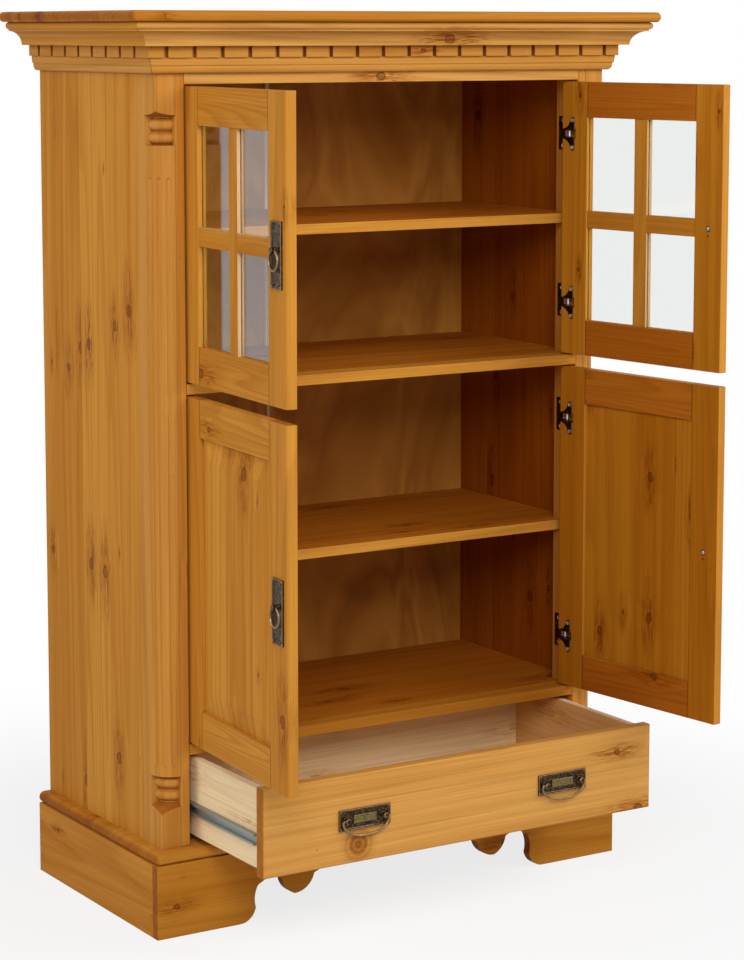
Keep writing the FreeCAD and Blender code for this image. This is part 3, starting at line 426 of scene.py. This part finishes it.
def zinc_plate(name):
    """Rolled steel under bright zinc: faint drawing lines and a cool, slightly cloudy shine."""
    finish = bpy.context.scene.highboard_hardware
    material, tree = start(name)
    at = add(tree, "TexCoord").outputs["Object"]
    # Drawing lines run along the runner, about half a millimetre apart.
    lines = drawn_out(tree, at, (900.0, 30.0, 900.0))
    dull = add(tree, "MapRange", {"Value": lines, 1: 0.3, 2: 0.7, 3: 0.42, 4: 0.58})
    relief = add(tree, "Bump", {"Strength": 0.1, "Distance": 0.0001, "Height": lines})
    skin = add(tree, "BsdfPrincipled", {
        "Base Color": finish.zinc, "Metallic": 1.0, "Roughness": dull, "Normal": relief})
    add(tree, "OutputMaterial", {"Surface": skin})
    return material


def bright_metal(name, tint, stain):
    """Worked metal kept bright: an even tone clouded by faint stains a few millimetres wide."""
    material, tree = start(name)
    at = add(tree, "TexCoord").outputs["Object"]
    cloud = add(tree, "TexNoise", {"Vector": at, "Scale": 320.0})
    share = add(tree, "MapRange", {"Value": cloud, 1: 0.4, 2: 0.75, 3: 0.0, 4: 0.7})
    metal = add(tree, "Mix", {0: share, 6: tint, 7: stain}, data_type="RGBA")
    skin = add(tree, "BsdfPrincipled", {"Base Color": metal.outputs[2], "Metallic": 1.0, "Roughness": 0.3})
    add(tree, "OutputMaterial", {"Surface": skin})
    return material


def float_glass(name):
    """Float glass: clear, smooth, with a faint cool cast."""
    finish = bpy.context.scene.highboard_hardware
    material, tree = start(name)
    skin = add(tree, "BsdfPrincipled", {
        "Base Color": finish.glass, "Roughness": 0.0, "IOR": 1.5, "Transmission Weight": 1.0})
    add(tree, "OutputMaterial", {"Surface": skin})
    return material


def white_plastic(name):
    """Extruded polystyrene with a fine matt grain: a thin white nose between flanks that took the back's stain."""
    finish = bpy.context.scene.highboard_hardware
    stain = bpy.context.scene.highboard_pine.ply_early
    material, tree = start(name)
    at = add(tree, "TexCoord").outputs["Object"]
    grain = add(tree, "TexNoise", {"Vector": at, "Scale": 900.0})
    relief = add(tree, "Bump", {"Strength": 0.08, "Distance": 0.0001, "Height": grain})
    low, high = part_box("back_joint_strip")
    aside = add(tree, "SeparateXYZ", {0: at}).outputs["X"]
    nose = add(tree, "Math", {0: aside, 1: (low.x + high.x) / 2, 2: HALF_NOSE}, operation="COMPARE")
    tone = add(tree, "Mix", {0: nose, 6: stain, 7: finish.strip}, data_type="RGBA")
    skin = add(tree, "BsdfPrincipled", {
        "Base Color": tone.outputs[2], "Roughness": 0.5, "IOR": 1.49, "Normal": relief})
    add(tree, "OutputMaterial", {"Surface": skin})
    return material


def past_mitre(node, tree, axes):
    """A test that is one on a moulding's runs along the sides and zero on its run along the front."""
    low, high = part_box(node)
    out = add(tree, "Math", {0: axes["x"]}, operation="ABSOLUTE")
    out = add(tree, "Math", {0: out, 1: axes["y"]}, operation="ADD")
    return add(tree, "Math", {0: out, 1: high.x + low.y}, operation="GREATER_THAN")


def honey(name, order, turn=0.0, front=False, **look):
    """Pine under honey stain and wax, with its grain along the last of the axes; painted light pales the front."""
    finish = bpy.context.scene.highboard_pine
    # The faces on the cabinet's front take the paler copy of the early wood: painted light.
    early = finish.front if front else finish.early
    return pine(name, order, early, finish.amber, finish.late, turn, **look)


def pale(name, order, **look):
    """Pine with no finish, with its grain along the last of the axes."""
    finish = bpy.context.scene.highboard_pine
    return pine(name, order, finish.pale_early, finish.pale_early, finish.pale_late, rough=0.55, hearts=0.25, **look)


class HIGHBOARD_OT_carcass(bpy.types.Operator):
    """Stain and wax the boards of the cabinet"""
    bl_idname = "highboard.carcass"
    bl_label = "Cabinet boards"

    def execute(self, context):
        finish = context.scene.highboard_pine
        # Inside the cabinet, behind the shelves' front edges, the sides and shelves are multiplied by tints: painted
        # shade.
        cabinet = partial(within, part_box("side_panel_right")[0].x + MM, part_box("upper_shelf")[0].y + MM)
        dress(honey("honey pine, upright", "yxz", inside=(cabinet, finish.deep_stain_and_shade)),
              "side_panel_left", "side_panel_right")
        dress(honey("honey pine, post", "xyz", stave=1.0, front=True),
              "corner_post_left", "corner_post_right", "inner_strips")
        dress(honey("honey pine, level", "yzx"), "base_board", "cap_board")
        dress(honey("honey pine, shelf", "yzx", inside=(cabinet, finish.shade_and_pale_edges)),
              "bottom_board", "fixed_shelf", "ceiling_board", "upper_shelf", "lower_shelf")
        dress(honey("honey pine, frieze", "zyx", stave=1.0, front=True), "frieze_rail")
        dress(honey("honey pine, apron", "zyx", stave=1.0), "front_apron", "plinth_back_rail")
        dress(honey("honey pine, side", "zxy", stave=1.0), "plinth_sides")
        dress(plywood("stained plywood", finish.ply_early, finish.ply_late), "back_panels")
        dress(white_plastic("white polystyrene"), "back_joint_strip")
        dress(pale("pale pine batten", "zxy"), "runner_battens")
        return {"FINISHED"}


# How far the bed moulding stands out, and how far its joints stand open at the mitres.
BED_OUT, BED_GAP = 14 * MM, 1.2 * MM
# Its outline, in shares of its reach and height: a round from the foot, a step, and a hollow up to the top edge.
BED_SHARES = ((0, 0), (0.4, 0), (0.7, 0.15), (0.8, 0.5), (0.9, 0.5), (0.97, 0.75), (1, 1), (0, 1))


def bow(first, through, last, steps=9):
    """Points along a smooth curve from one point through another to a third."""
    pull = 2 * through - (first + last) / 2
    return interpolate_bezier(first, first.lerp(pull, 2 / 3), last.lerp(pull, 2 / 3), last, steps)


def bed_outline(tall):
    """The bed moulding's outline: how far each point stands out from the cabinet, and how far up."""
    points = [Vector((BED_OUT * reach, tall * rise)) for reach, rise in BED_SHARES]
    return [points[0], *bow(*points[1:4]), *bow(*points[4:7]), points[7]]


def run(shape, profile, *ends):
    """Add a length of moulding between two ends, each of which places a point of the profile."""
    loops = [[shape.verts.new(end(*point)) for point in profile] for end in ends]
    for i in range(len(profile)):
        shape.faces.new((loops[0][i - 1], loops[0][i], loops[1][i], loops[1][i - 1]))
    for loop in loops:
        shape.faces.new(loop)


class HIGHBOARD_OT_cornice(bpy.types.Operator):
    """Stain and wax the mouldings of the cornice, and mitre the bed moulding's corners"""
    bl_idname = "highboard.cornice"
    bl_label = "Cornice"

    @staticmethod
    def bed(material):
        """The bed moulding's three runs, in place of the solid whose front run lacks its mitred ends."""
        low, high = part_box("bed_mouldings")
        half, front = high.x - BED_OUT, low.y + BED_OUT

        def corner(side, gap=0.0):
            return lambda out, up: (side * (half + out), front - out + gap, low.z + up)

        def back(side):
            return lambda out, up: (side * (half + out), high.y, low.z + up)

        shape = bmesh.new()
        outline = bed_outline(high.z - low.z)
        run(shape, outline, corner(-1), corner(1))
        for side in (-1, 1):
            run(shape, outline, corner(side, BED_GAP), back(side))
        bmesh.ops.recalc_face_normals(shape, faces=shape.faces)
        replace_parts(piece("bed_mouldings_mitred", shape, material, "carcass"), "bed_mouldings")

    def execute(self, context):
        dress(honey("honey pine, crown", "zyx", stave=1.0, front=True), "crown_front")
        dress(honey("honey pine, crown return", "zxy", stave=1.0), "crown_sides")
        bed, dentils = (
            honey(f"honey pine, {node}", "zyx", other="zxy", where=partial(past_mitre, node), stave=1.0, front=True)
            for node in ("bed_mouldings", "dentil_bands"))
        dress(bed, "bed_mouldings")
        dress(dentils, "dentil_bands")
        self.bed(bed)
        return {"FINISHED"}


# How far each rail's tongue goes into a stile, where the dark of a joint begins and is full, short of the joint, and
# half the width of a glazing bar.
TONGUE, DARKENS, DARK, HALF_BAR = 8 * MM, 1.8 * MM, 0.8 * MM, 14 * MM


def at_joints(side, turn, tree):
    """A test that is a share at the rails' ends, where stain has gathered in the joints with the stiles."""
    low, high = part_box(f"upper_{side}_rails")
    middle = closed_middle(f"upper_{side}_rails", turn)
    along, across = abs(math.sin(math.radians(turn))), abs(math.cos(math.radians(turn)))
    # The box of the open door's rail holds its length and its thickness, both turned.
    reach = ((high.y - low.y) * along - (high.x - low.x) * across) / (along ** 2 - across ** 2)
    joint = reach / 2 - TONGUE
    off = add(tree, "Math", {0: closed_axes(tree, "Object", turn)["x"], 1: middle.x}, operation="SUBTRACT")
    off = add(tree, "Math", {0: off}, operation="ABSOLUTE")
    return add(tree, "MapRange", {"Value": off, 1: joint - DARKENS, 2: joint - DARK, 3: 0.0, 4: 0.75})


def on_crossbar(side, turn, tree, axes):
    """A test that is one on the level glazing bar, on both sides of the upright one."""
    middle = closed_middle(f"upper_{side}_glazing_bars", turn)
    level = add(tree, "Math", {0: axes["z"], 1: middle.z, 2: HALF_BAR}, operation="COMPARE")
    upright = add(tree, "Math", {0: axes["x"], 1: middle.x, 2: HALF_BAR}, operation="COMPARE")
    return add(tree, "Math", {0: level, 1: upright}, operation="GREATER_THAN")


class HIGHBOARD_OT_doors(bpy.types.Operator):
    """Stain and wax the doors' frames, panels and glazing bars"""
    bl_idname = "highboard.doors"
    bl_label = "Doors"

    def execute(self, context):
        finish = context.scene.highboard_pine
        for side, turn in OPEN.items():
            # The doors' inner faces are multiplied by tints, the stiles' and panels' by one and the rails' by
            # another: painted shade.
            back = partial(on_back, turn)
            door_back_shade = (back, finish.door_back_shade)
            dress(honey(f"honey pine, {side} stiles", "xyz", turn, stave=1.0, inside=door_back_shade,
                        bare=(partial(on_edges, turn, 0.1), finish.worn)),
                  f"upper_{side}_stiles", f"lower_{side}_stiles")
            dress(honey(f"honey pine, {side} rails", "zyx", turn, stave=1.0, figure=0.3, rings=64.0,
                        inside=(back, finish.shade_and_pale_edges), bare=(partial(at_joints, side, turn), finish.knot)),
                  f"upper_{side}_rails", f"lower_{side}_rails")
            dress(honey(f"honey pine, {side} panel", "xyz", turn, inside=door_back_shade), f"lower_{side}_panel")
            dress(honey(f"honey pine, {side} bars", "xyz", turn, stave=1.0, other="zyx",
                        where=partial(on_crossbar, side, turn),
                        bare=(partial(on_edges, turn, 0.6), finish.shade_and_pale_edges)),
                  f"upper_{side}_glazing_bars")
        dress(float_glass("float glass"), "upper_left_glass", "upper_right_glass")
        return {"FINISHED"}


class HIGHBOARD_OT_drawer(bpy.types.Operator):
    """Stain the drawer's front and leave its box pale"""
    bl_idname = "highboard.drawer"
    bl_label = "Drawer"

    def execute(self, context):
        finish = context.scene.highboard_pine
        low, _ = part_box("drawer_front")
        knot = Vector((low.z + KNOT_UP, low.y, KNOT_ACROSS))
        dress(honey("honey pine, drawer front", "zyx", stave=1.0, figure=0.15, front=True, mark=knot), "drawer_front")
        # The drawer sides' inner faces are multiplied by a tint: painted shade.
        box = partial(within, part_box("drawer_back")[1].x + MM, low.y)
        dress(pale("pale pine side", "zxy", inside=(box, finish.shade_and_pale_edges)), "drawer_sides")
        dress(pale("pale pine back", "zyx"), "drawer_back")
        dress(plywood("pale plywood", finish.ply_pale, finish.pale_early, patches=0.08), "drawer_bottom")
        dress(zinc_plate("zinc plated steel"), "drawer_runners", "cabinet_runners", "shelf_pins")
        return {"FINISHED"}


def turned(profile, steps=32):
    """A shape turned about Z from (radius, height) points in mm."""
    shape = bmesh.new()
    points = [shape.verts.new((radius * MM, 0, height * MM)) for radius, height in profile]
    edges = [shape.edges.new(pair) for pair in zip(points, points[1:])]
    bmesh.ops.spin(shape, geom=points + edges, axis=(0, 0, 1), cent=(0, 0, 0), angle=math.tau, steps=steps)
    bmesh.ops.remove_doubles(shape, verts=shape.verts, dist=0.01 * MM)
    bmesh.ops.recalc_face_normals(shape, faces=shape.faces)
    return shape


def screw_head(radius):
    """A domed head with a cross recess, its seat at zero height."""
    tall, slot, deep = 1.9, 0.5, 0.8
    rings = 9
    shares = [(rings - i) / rings for i in range(rings + 1)]
    profile = [(radius, 0)] + [(radius * share, tall * (1 - 0.5 * share ** 2)) for share in shares]
    shape = turned(profile)
    for vert in shape.verts:
        flat = vert.co.xy.length
        if flat < 0.65 * radius * MM and min(abs(vert.co.x), abs(vert.co.y)) < slot * MM:
            vert.co.z -= deep * MM
    return shape


# The corners of a square, one after another.
SQUARE = ((-1, -1), (1, -1), (1, 1), (-1, 1))


def moulded(half_wide, half_tall, steps, filled):
    """A rectangular moulding from (inset, height) steps in mm: filled in the middle, or an open frame."""
    shape = bmesh.new()
    loops = []
    for inset, height in steps:
        wide, tall = half_wide - inset, half_tall - inset
        loops.append([shape.verts.new(Vector((x * wide, y * tall, height)) * MM) for x, y in SQUARE])
    last = [] if filled else loops[:1]
    for outer, inner in zip(loops, loops[1:] + last):
        for i in range(4):
            shape.faces.new((outer[i], outer[i - 3], inner[i - 3], inner[i]))
    if filled:
        shape.faces.new(loops[-1])
    bmesh.ops.recalc_face_normals(shape, faces=shape.faces)
    return shape


def wire(points, radius, around=16):
    """A round wire along points in an upright plane that faces the front."""
    shape = bmesh.new()
    rings = []
    back = Vector((0, 1, 0))
    turns = [math.tau * i / around for i in range(around)]
    for before, at, after in zip(points[:1] + points, points, points[1:] + points[-1:]):
        across = (after - before).normalized().cross(back)
        rings.append([shape.verts.new(at + radius * (math.cos(turn) * across + math.sin(turn) * back))
                      for turn in turns])
    for first, second in zip(rings, rings[1:]):
        for i in range(around):
            shape.faces.new((first[i - 1], first[i], second[i], second[i - 1]))
    for ring in (rings[0], rings[-1]):
        shape.faces.new(ring)
    bmesh.ops.recalc_face_normals(shape, faces=shape.faces)
    return shape


def stamped(shape, places):
    """Copies of a shape at several placements, as one shape."""
    mesh = bpy.data.meshes.new("stamp")
    shape.to_mesh(mesh)
    shape.free()
    joined = bmesh.new()
    for place in places:
        before = len(joined.verts)
        joined.from_mesh(mesh)
        joined.verts.ensure_lookup_table()
        bmesh.ops.transform(joined, matrix=place, verts=joined.verts[before:])
    bpy.data.meshes.remove(mesh)
    return joined


def piece(name, shape, material, body):
    """A new piece that rides a body."""
    mesh = bpy.data.meshes.new(name)
    shape.to_mesh(mesh)
    shape.free()
    mesh.materials.append(material)
    mesh.shade_smooth()
    mesh.set_sharp_from_angle(angle=math.radians(40))
    thing = bpy.data.objects.new(name, mesh)
    bpy.context.scene.collection.objects.link(thing)
    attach(thing, body)
    return thing


def facing(at, out):
    """A placement at a point, with Z along a level direction and Y upright."""
    return Matrix.Translation(Vector(at)) @ Vector(out).to_track_quat("Z", "Y").to_matrix().to_4x4()


def swung(door, turn):
    """A closed door's pivot, and the placement that swings the closed door to where it stands open."""
    hinge = next(joint for joint in frame["joints"] if joint["name"] == f"{door}_hinge")
    pivot = Vector(hinge["pos_m"])
    centre = Matrix.Translation(pivot)
    return pivot, centre @ Matrix.Rotation(math.radians(turn), 4, "Z") @ centre.inverted()


DOORS = [(f"{level}_{side}", turn) for side, turn in OPEN.items() for level in ("upper", "lower")]
# Sections in mm: (inset, height) steps of the half-round rims and of the badges, whose border stands round a sunk
# field, and (radius, height) points of the washers, studs and beads.
RIM = ((0.0, 0.0), (0.15, 0.5), (0.5, 0.8), (0.9, 0.8), (1.25, 0.5), (1.4, 0.0))
BADGE = ((0.0, 0.0), (0.0, 0.7), (0.5, 1.0), (1.1, 1.0), (1.5, 0.6))
WASHER = ((4.6, 0.0), (4.6, 0.3), (4.2, 0.6), (3.0, 0.6))
STUD = ((1.5, 0.0), (1.45, 0.5), (1.1, 1.0), (0.6, 1.25), (0.0, 1.3))
BEAD = ((3.4, 0.0), (4.2, 0.3), (4.6, 1.2), (4.3, 2.2), (3.4, 2.9))
# Half widths and half heights in mm of the doors' plates, the drawer's plates and the badges.
DOOR_PLATE, DRAWER_PLATE, BADGE_PLATE = (17, 47.5), (45, 16), (20, 6)
# Sizes in mm of a drawer's pull: its plate's thickness, half the way between its posts, and how far behind their
# front ends the bail hangs. Studs stand in from the edges of every plate.
PLATE_THICK, HALF_POSTS, BAIL_BEHIND, STUD_INSET = 2.5, 33, 5, 3
# Places on a closed door in mm, along it from the hinge's pivot and behind the pivot.
PLATE_FACE, PULL_BACK, FLANGE_FACE = (321, -9.5), (321, 9), (16.8, 10.2)
# Heights in mm: the pull's screw over the plate's middle, the plug under that screw, a hinge's middle from the
# end of its door, and the screws of its flange and of its arm from that middle.
PULL_RISE, PLUG_DROP, HINGE_INSET, FLANGE_RISE, ARM_RISE = 7, 11, 84, 21.8, 20.6
# The arms' screws in mm from the cabinet's middle and its back, and the radii of the three kinds of screw.
ARM_OUT, ARM_FRONT = 359, -356
FLANGE_SCREW, PULL_SCREW, ARM_SCREW = 3.5, 3.2, 3.4
# The radius of a bail's wire, and curves of half a bail, in mm out from its middle and up: through the post,
# round the bend and along the bow.
WIRE = 1.8
BENDS = (((29.4, 0), (32, 0), (34, 0), (36.4, 0)),
         ((36.4, 0), (40.2, 0), (41.5, -4), (39.4, -8.5)),
         ((39.4, -8.5), (33, -22), (16, -25.5), (0, -25.5)))


def hinge_heights(door):
    """The middles of a door's two hinges."""
    low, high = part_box(f"{door}_stiles")
    return low.z + HINGE_INSET * MM, high.z - HINGE_INSET * MM


def corners(place, half_wide, half_tall):
    """The places of the studs at the corners of a plate."""
    x, y = (half_wide - STUD_INSET) * MM, (half_tall - STUD_INSET) * MM
    return [place @ Matrix.Translation((i * x, j * y, 0)) for i in (-1, 1) for j in (-1, 1)]


class HIGHBOARD_OT_hardware(bpy.types.Operator):
    """Give the pulls and the hinges their bronze, bright rims and screws"""
    bl_idname = "highboard.hardware"
    bl_label = "Pulls and hinges"

    def execute(self, context):
        finish = context.scene.highboard_hardware
        bronze = antique_bronze("antique bronze")
        handle = antique_bronze("rubbed antique bronze", worn=0.45)
        nickel = bright_metal("nickel plated screw", finish.screw, finish.zinc)
        for door, turn in DOORS:
            dress(bronze, f"{door}_pull_plate", f"{door}_hinge_cups")
            dress(handle, f"{door}_pull_ring")
            self.door(door, turn, handle, nickel, bronze)
        dress(bronze, "drawer_pull_plates")
        pivot, _ = swung("upper_right", OPEN["right"])
        dress(antique_bronze("antique bronze and nickel", pins=(pivot.x, pivot.y, 0)), "hinge_arms")
        self.drawer(handle, bright_metal("aged brass", finish.brass, finish.bronze))
        self.arms(nickel)
        return {"FINISHED"}

    def door(self, door, turn, handle, nickel, bronze):
        """The rim of a door's pull plate, its hinge screws, and the screw that holds the pull from inside."""
        pivot, opened = swung(door, turn)
        inward = -math.copysign(1, pivot.x)
        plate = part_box(f"{door}_pull_plate")
        middle = (plate[0].z + plate[1].z) / 2
        eye = middle + PULL_RISE * MM

        def seat(place, height, out):
            """A placement on the closed door that swings with it."""
            along, behind = place
            return opened @ facing((pivot.x + inward * along * MM, pivot.y + behind * MM, height), (0, out, 0))

        def fit(part, shape, places, material):
            piece(f"{door}_{part}", stamped(shape, places), material, f"{door}_door")

        front, back = seat(PLATE_FACE, middle, -1), seat(PULL_BACK, eye, 1)
        below = seat(PULL_BACK, eye - PLUG_DROP * MM, 1)
        flanges = [seat(FLANGE_FACE, height + rise * MM, 1)
                   for height in hinge_heights(door) for rise in (-FLANGE_RISE, FLANGE_RISE)]
        fit("plate_rim", moulded(*DOOR_PLATE, RIM, False), [front], handle)
        fit("plate_studs", turned(STUD), corners(front, *DOOR_PLATE), handle)
        fit("hinge_screws", screw_head(FLANGE_SCREW), flanges, nickel)
        fit("pull_screw", screw_head(PULL_SCREW), [back], nickel)
        fit("pull_washer", turned(WASHER), [back], bronze)
        fit("pull_plug", turned(STUD), [below], bronze)

    def drawer(self, handle, brass):
        """The rims, studs, badges, beads and bails of the drawer's two pulls."""
        low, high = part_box("drawer_pull_plates")
        height = (low.z + high.z) / 2
        for side, name in ((-1, "left"), (1, "right")):
            across = side * (high.x - DRAWER_PLATE[0] * MM)
            face = facing((across, high.y - PLATE_THICK * MM, height), (0, -1, 0))
            posts = [facing((across + x * MM, low.y + BEAD[-1][1] * MM, height), (0, -1, 0))
                     for x in (-HALF_POSTS, HALF_POSTS)]
            for part, shape, places, material in (
                    ("plate_rim", moulded(*DRAWER_PLATE, RIM, False), [face], handle),
                    ("plate_studs", turned(STUD), corners(face, *DRAWER_PLATE), handle),
                    ("badge", moulded(*BADGE_PLATE, BADGE, True), [face], brass),
                    ("post_beads", turned(BEAD), posts, handle)):
                piece(f"drawer_{part}_{name}", stamped(shape, places), material, "drawer")
            bail = piece(f"drawer_bail_{name}_wire", self.bail(across, low.y + BAIL_BEHIND * MM, height), handle,
                         f"drawer_bail_{name}_body")
            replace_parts(bail, f"drawer_bail_{name}")

    @staticmethod
    def bail(across, front, height):
        """A drop handle that leaves its posts outward and hangs in a wide, shallow bow."""
        half = []
        for bend in BENDS:
            knots = [Vector((x, 0, z)) for x, z in bend]
            half += interpolate_bezier(*knots, 12)[1 if half else 0:]
        points = half + [Vector((-point.x, 0, point.z)) for point in reversed(half[:-1])]
        points = [point * MM for point in points]
        return stamped(wire(points, WIRE * MM), [Matrix.Translation((across, front, height))])

    def arms(self, nickel):
        """The screws that hold the hinge arms to the cabinet."""
        seats = []
        for door, _ in DOORS:
            side = 1 if door.endswith("right") else -1
            for middle in hinge_heights(door):
                for rise in (-ARM_RISE, ARM_RISE):
                    place = (side * ARM_OUT * MM, ARM_FRONT * MM, middle + rise * MM)
                    seats.append(facing(place, (-side, 0, 0)))
        piece("hinge_arm_screws", stamped(screw_head(ARM_SCREW), seats), nickel, "carcass")


# The lamps, with their sides and places in metres, and the point that they face.
LAMPS = (("key", 2.6, (2.4, -3.0, 2.8)), ("front", 2.0, (-1.9, -3.7, 2.8)), ("fill", 2.0, (-4.2, 0.6, 2.2)))
AIM = Vector((0, -0.25, 0.7))
# The camera's place in metres, the degrees that it looks down and to the right, and its sensor's width in mm.
CAMERA_PLACE, LOOKS_DOWN, LOOKS_RIGHT, SENSOR = (-2.265, -3.9592, 1.3697), 7.013, 32.049, 36
# Half the floor's width, and how far from the object's middle its paper begins to pale and is white, in metres.
FLOOR_HALF, PALES, WHITE = 14.0, 0.5, 1.5


class HIGHBOARD_OT_stage(bpy.types.Operator):
    """Set up the floor, the light and the camera"""
    bl_idname = "highboard.stage"
    bl_label = "Studio"

    def execute(self, context):
        scene = context.scene
        studio = scene.highboard_studio
        scene.view_settings.view_transform = "Standard"
        floor_mesh = bpy.data.meshes.new("floor")
        floor_mesh.from_pydata([(x * FLOOR_HALF, y * FLOOR_HALF, 0) for x, y in SQUARE], [], [(0, 1, 2, 3)])
        floor = bpy.data.objects.new("floor", floor_mesh)
        scene.collection.objects.link(floor)
        material, tree = start("white paper floor")
        seen = self.seen(tree)
        # The paper curves up out of sight, so it pales to the background's white within a metre or so.
        at = add(tree, "NewGeometry").outputs["Position"]
        away = add(tree, "VectorMath", {0: at, 1: (AIM.x, AIM.y, 0)}, operation="DISTANCE").outputs["Value"]
        white = add(tree, "MapRange", {"Value": away, 1: PALES, 2: WHITE, 3: 0.80, 4: 1.0},
                    interpolation_type="SMOOTHSTEP")
        veil = add(tree, "Math", {0: seen, 1: white}, operation="MULTIPLY")
        paper = add(tree, "BsdfDiffuse", {"Color": (0.80, 0.80, 0.80, 1)})
        glow = add(tree, "Emission", {"Color": (1, 1, 1, 1), "Strength": 1.0})
        mixed = add(tree, "MixShader", {0: veil, 1: paper, 2: glow})
        add(tree, "OutputMaterial", {"Surface": mixed})
        floor_mesh.materials.append(material)

        scene.world = world = bpy.data.worlds.new("studio")
        world.use_nodes = True
        tree = world.node_tree
        tree.nodes.clear()
        seen = self.seen(tree)
        soft = add(tree, "Background", {"Color": (1, 1, 1, 1), "Strength": studio.ambient})
        white = add(tree, "Background", {"Color": (1, 1, 1, 1), "Strength": 1.0})
        mixed = add(tree, "MixShader", {0: seen, 1: soft, 2: white})
        add(tree, "OutputWorld", {"Surface": mixed})

        for name, side, place in LAMPS:
            self.lamp(name, getattr(studio, name), side, Vector(place))

        lens = bpy.data.cameras.new("camera")
        lens.lens = studio.lens
        lens.sensor_width = SENSOR
        lens.shift_y = studio.shift
        camera = bpy.data.objects.new("camera", lens)
        camera.location = CAMERA_PLACE
        camera.rotation_euler = Euler((math.radians(90 - LOOKS_DOWN), 0, math.radians(-LOOKS_RIGHT)))
        scene.collection.objects.link(camera)
        scene.camera = camera
        return {"FINISHED"}

    @staticmethod
    def seen(tree):
        """One for rays that show the background itself: camera, glossy and transmission rays."""
        path = add(tree, "LightPath")
        seen = path.outputs["Is Camera Ray"]
        for ray in ("Is Glossy Ray", "Is Transmission Ray"):
            seen = add(tree, "Math", {0: seen, 1: path.outputs[ray]}, operation="MAXIMUM")
        return seen

    @staticmethod
    def lamp(name, watts, side, place):
        """A square soft lamp."""
        light = bpy.data.lights.new(name, "AREA")
        light.energy = watts
        light.size = side
        lamp = bpy.data.objects.new(name, light)
        lamp.location = place
        lamp.rotation_euler = (AIM - place).to_track_quat("-Z", "Y").to_euler()
        bpy.context.scene.collection.objects.link(lamp)


class HIGHBOARD_PT_panel(bpy.types.Panel):
    """The steps that finish the highboard"""
    bl_label = "Highboard"
    bl_idname = "HIGHBOARD_PT_panel"
    bl_space_type = "VIEW_3D"
    bl_region_type = "UI"
    bl_category = "Highboard"

    def draw(self, context):
        for group, kind in SETTINGS.items():
            column = self.layout.column()
            for name in kind.__annotations__:
                column.prop(getattr(context.scene, group), name)
        for step in STEPS:
            self.layout.operator(step.bl_idname)


STEPS = (HIGHBOARD_OT_stage, HIGHBOARD_OT_carcass, HIGHBOARD_OT_cornice, HIGHBOARD_OT_doors, HIGHBOARD_OT_drawer,
         HIGHBOARD_OT_hardware)
SETTINGS = {"highboard_pine": PineFinish, "highboard_hardware": HardwareFinish, "highboard_studio": StudioSettings}


def register():
    for kind in (*SETTINGS.values(), *STEPS, HIGHBOARD_PT_panel):
        bpy.utils.register_class(kind)
    for name, kind in SETTINGS.items():
        setattr(bpy.types.Scene, name, bpy.props.PointerProperty(type=kind))


def unregister():
    for name in SETTINGS:
        delattr(bpy.types.Scene, name)
    for kind in (HIGHBOARD_PT_panel, *reversed(STEPS), *reversed(SETTINGS.values())):
        bpy.utils.unregister_class(kind)


def main():
    register()
    for step in STEPS:
        group, name = step.bl_idname.split(".")
        getattr(getattr(bpy.ops, group), name)()


if __name__ == "__main__":
    main()
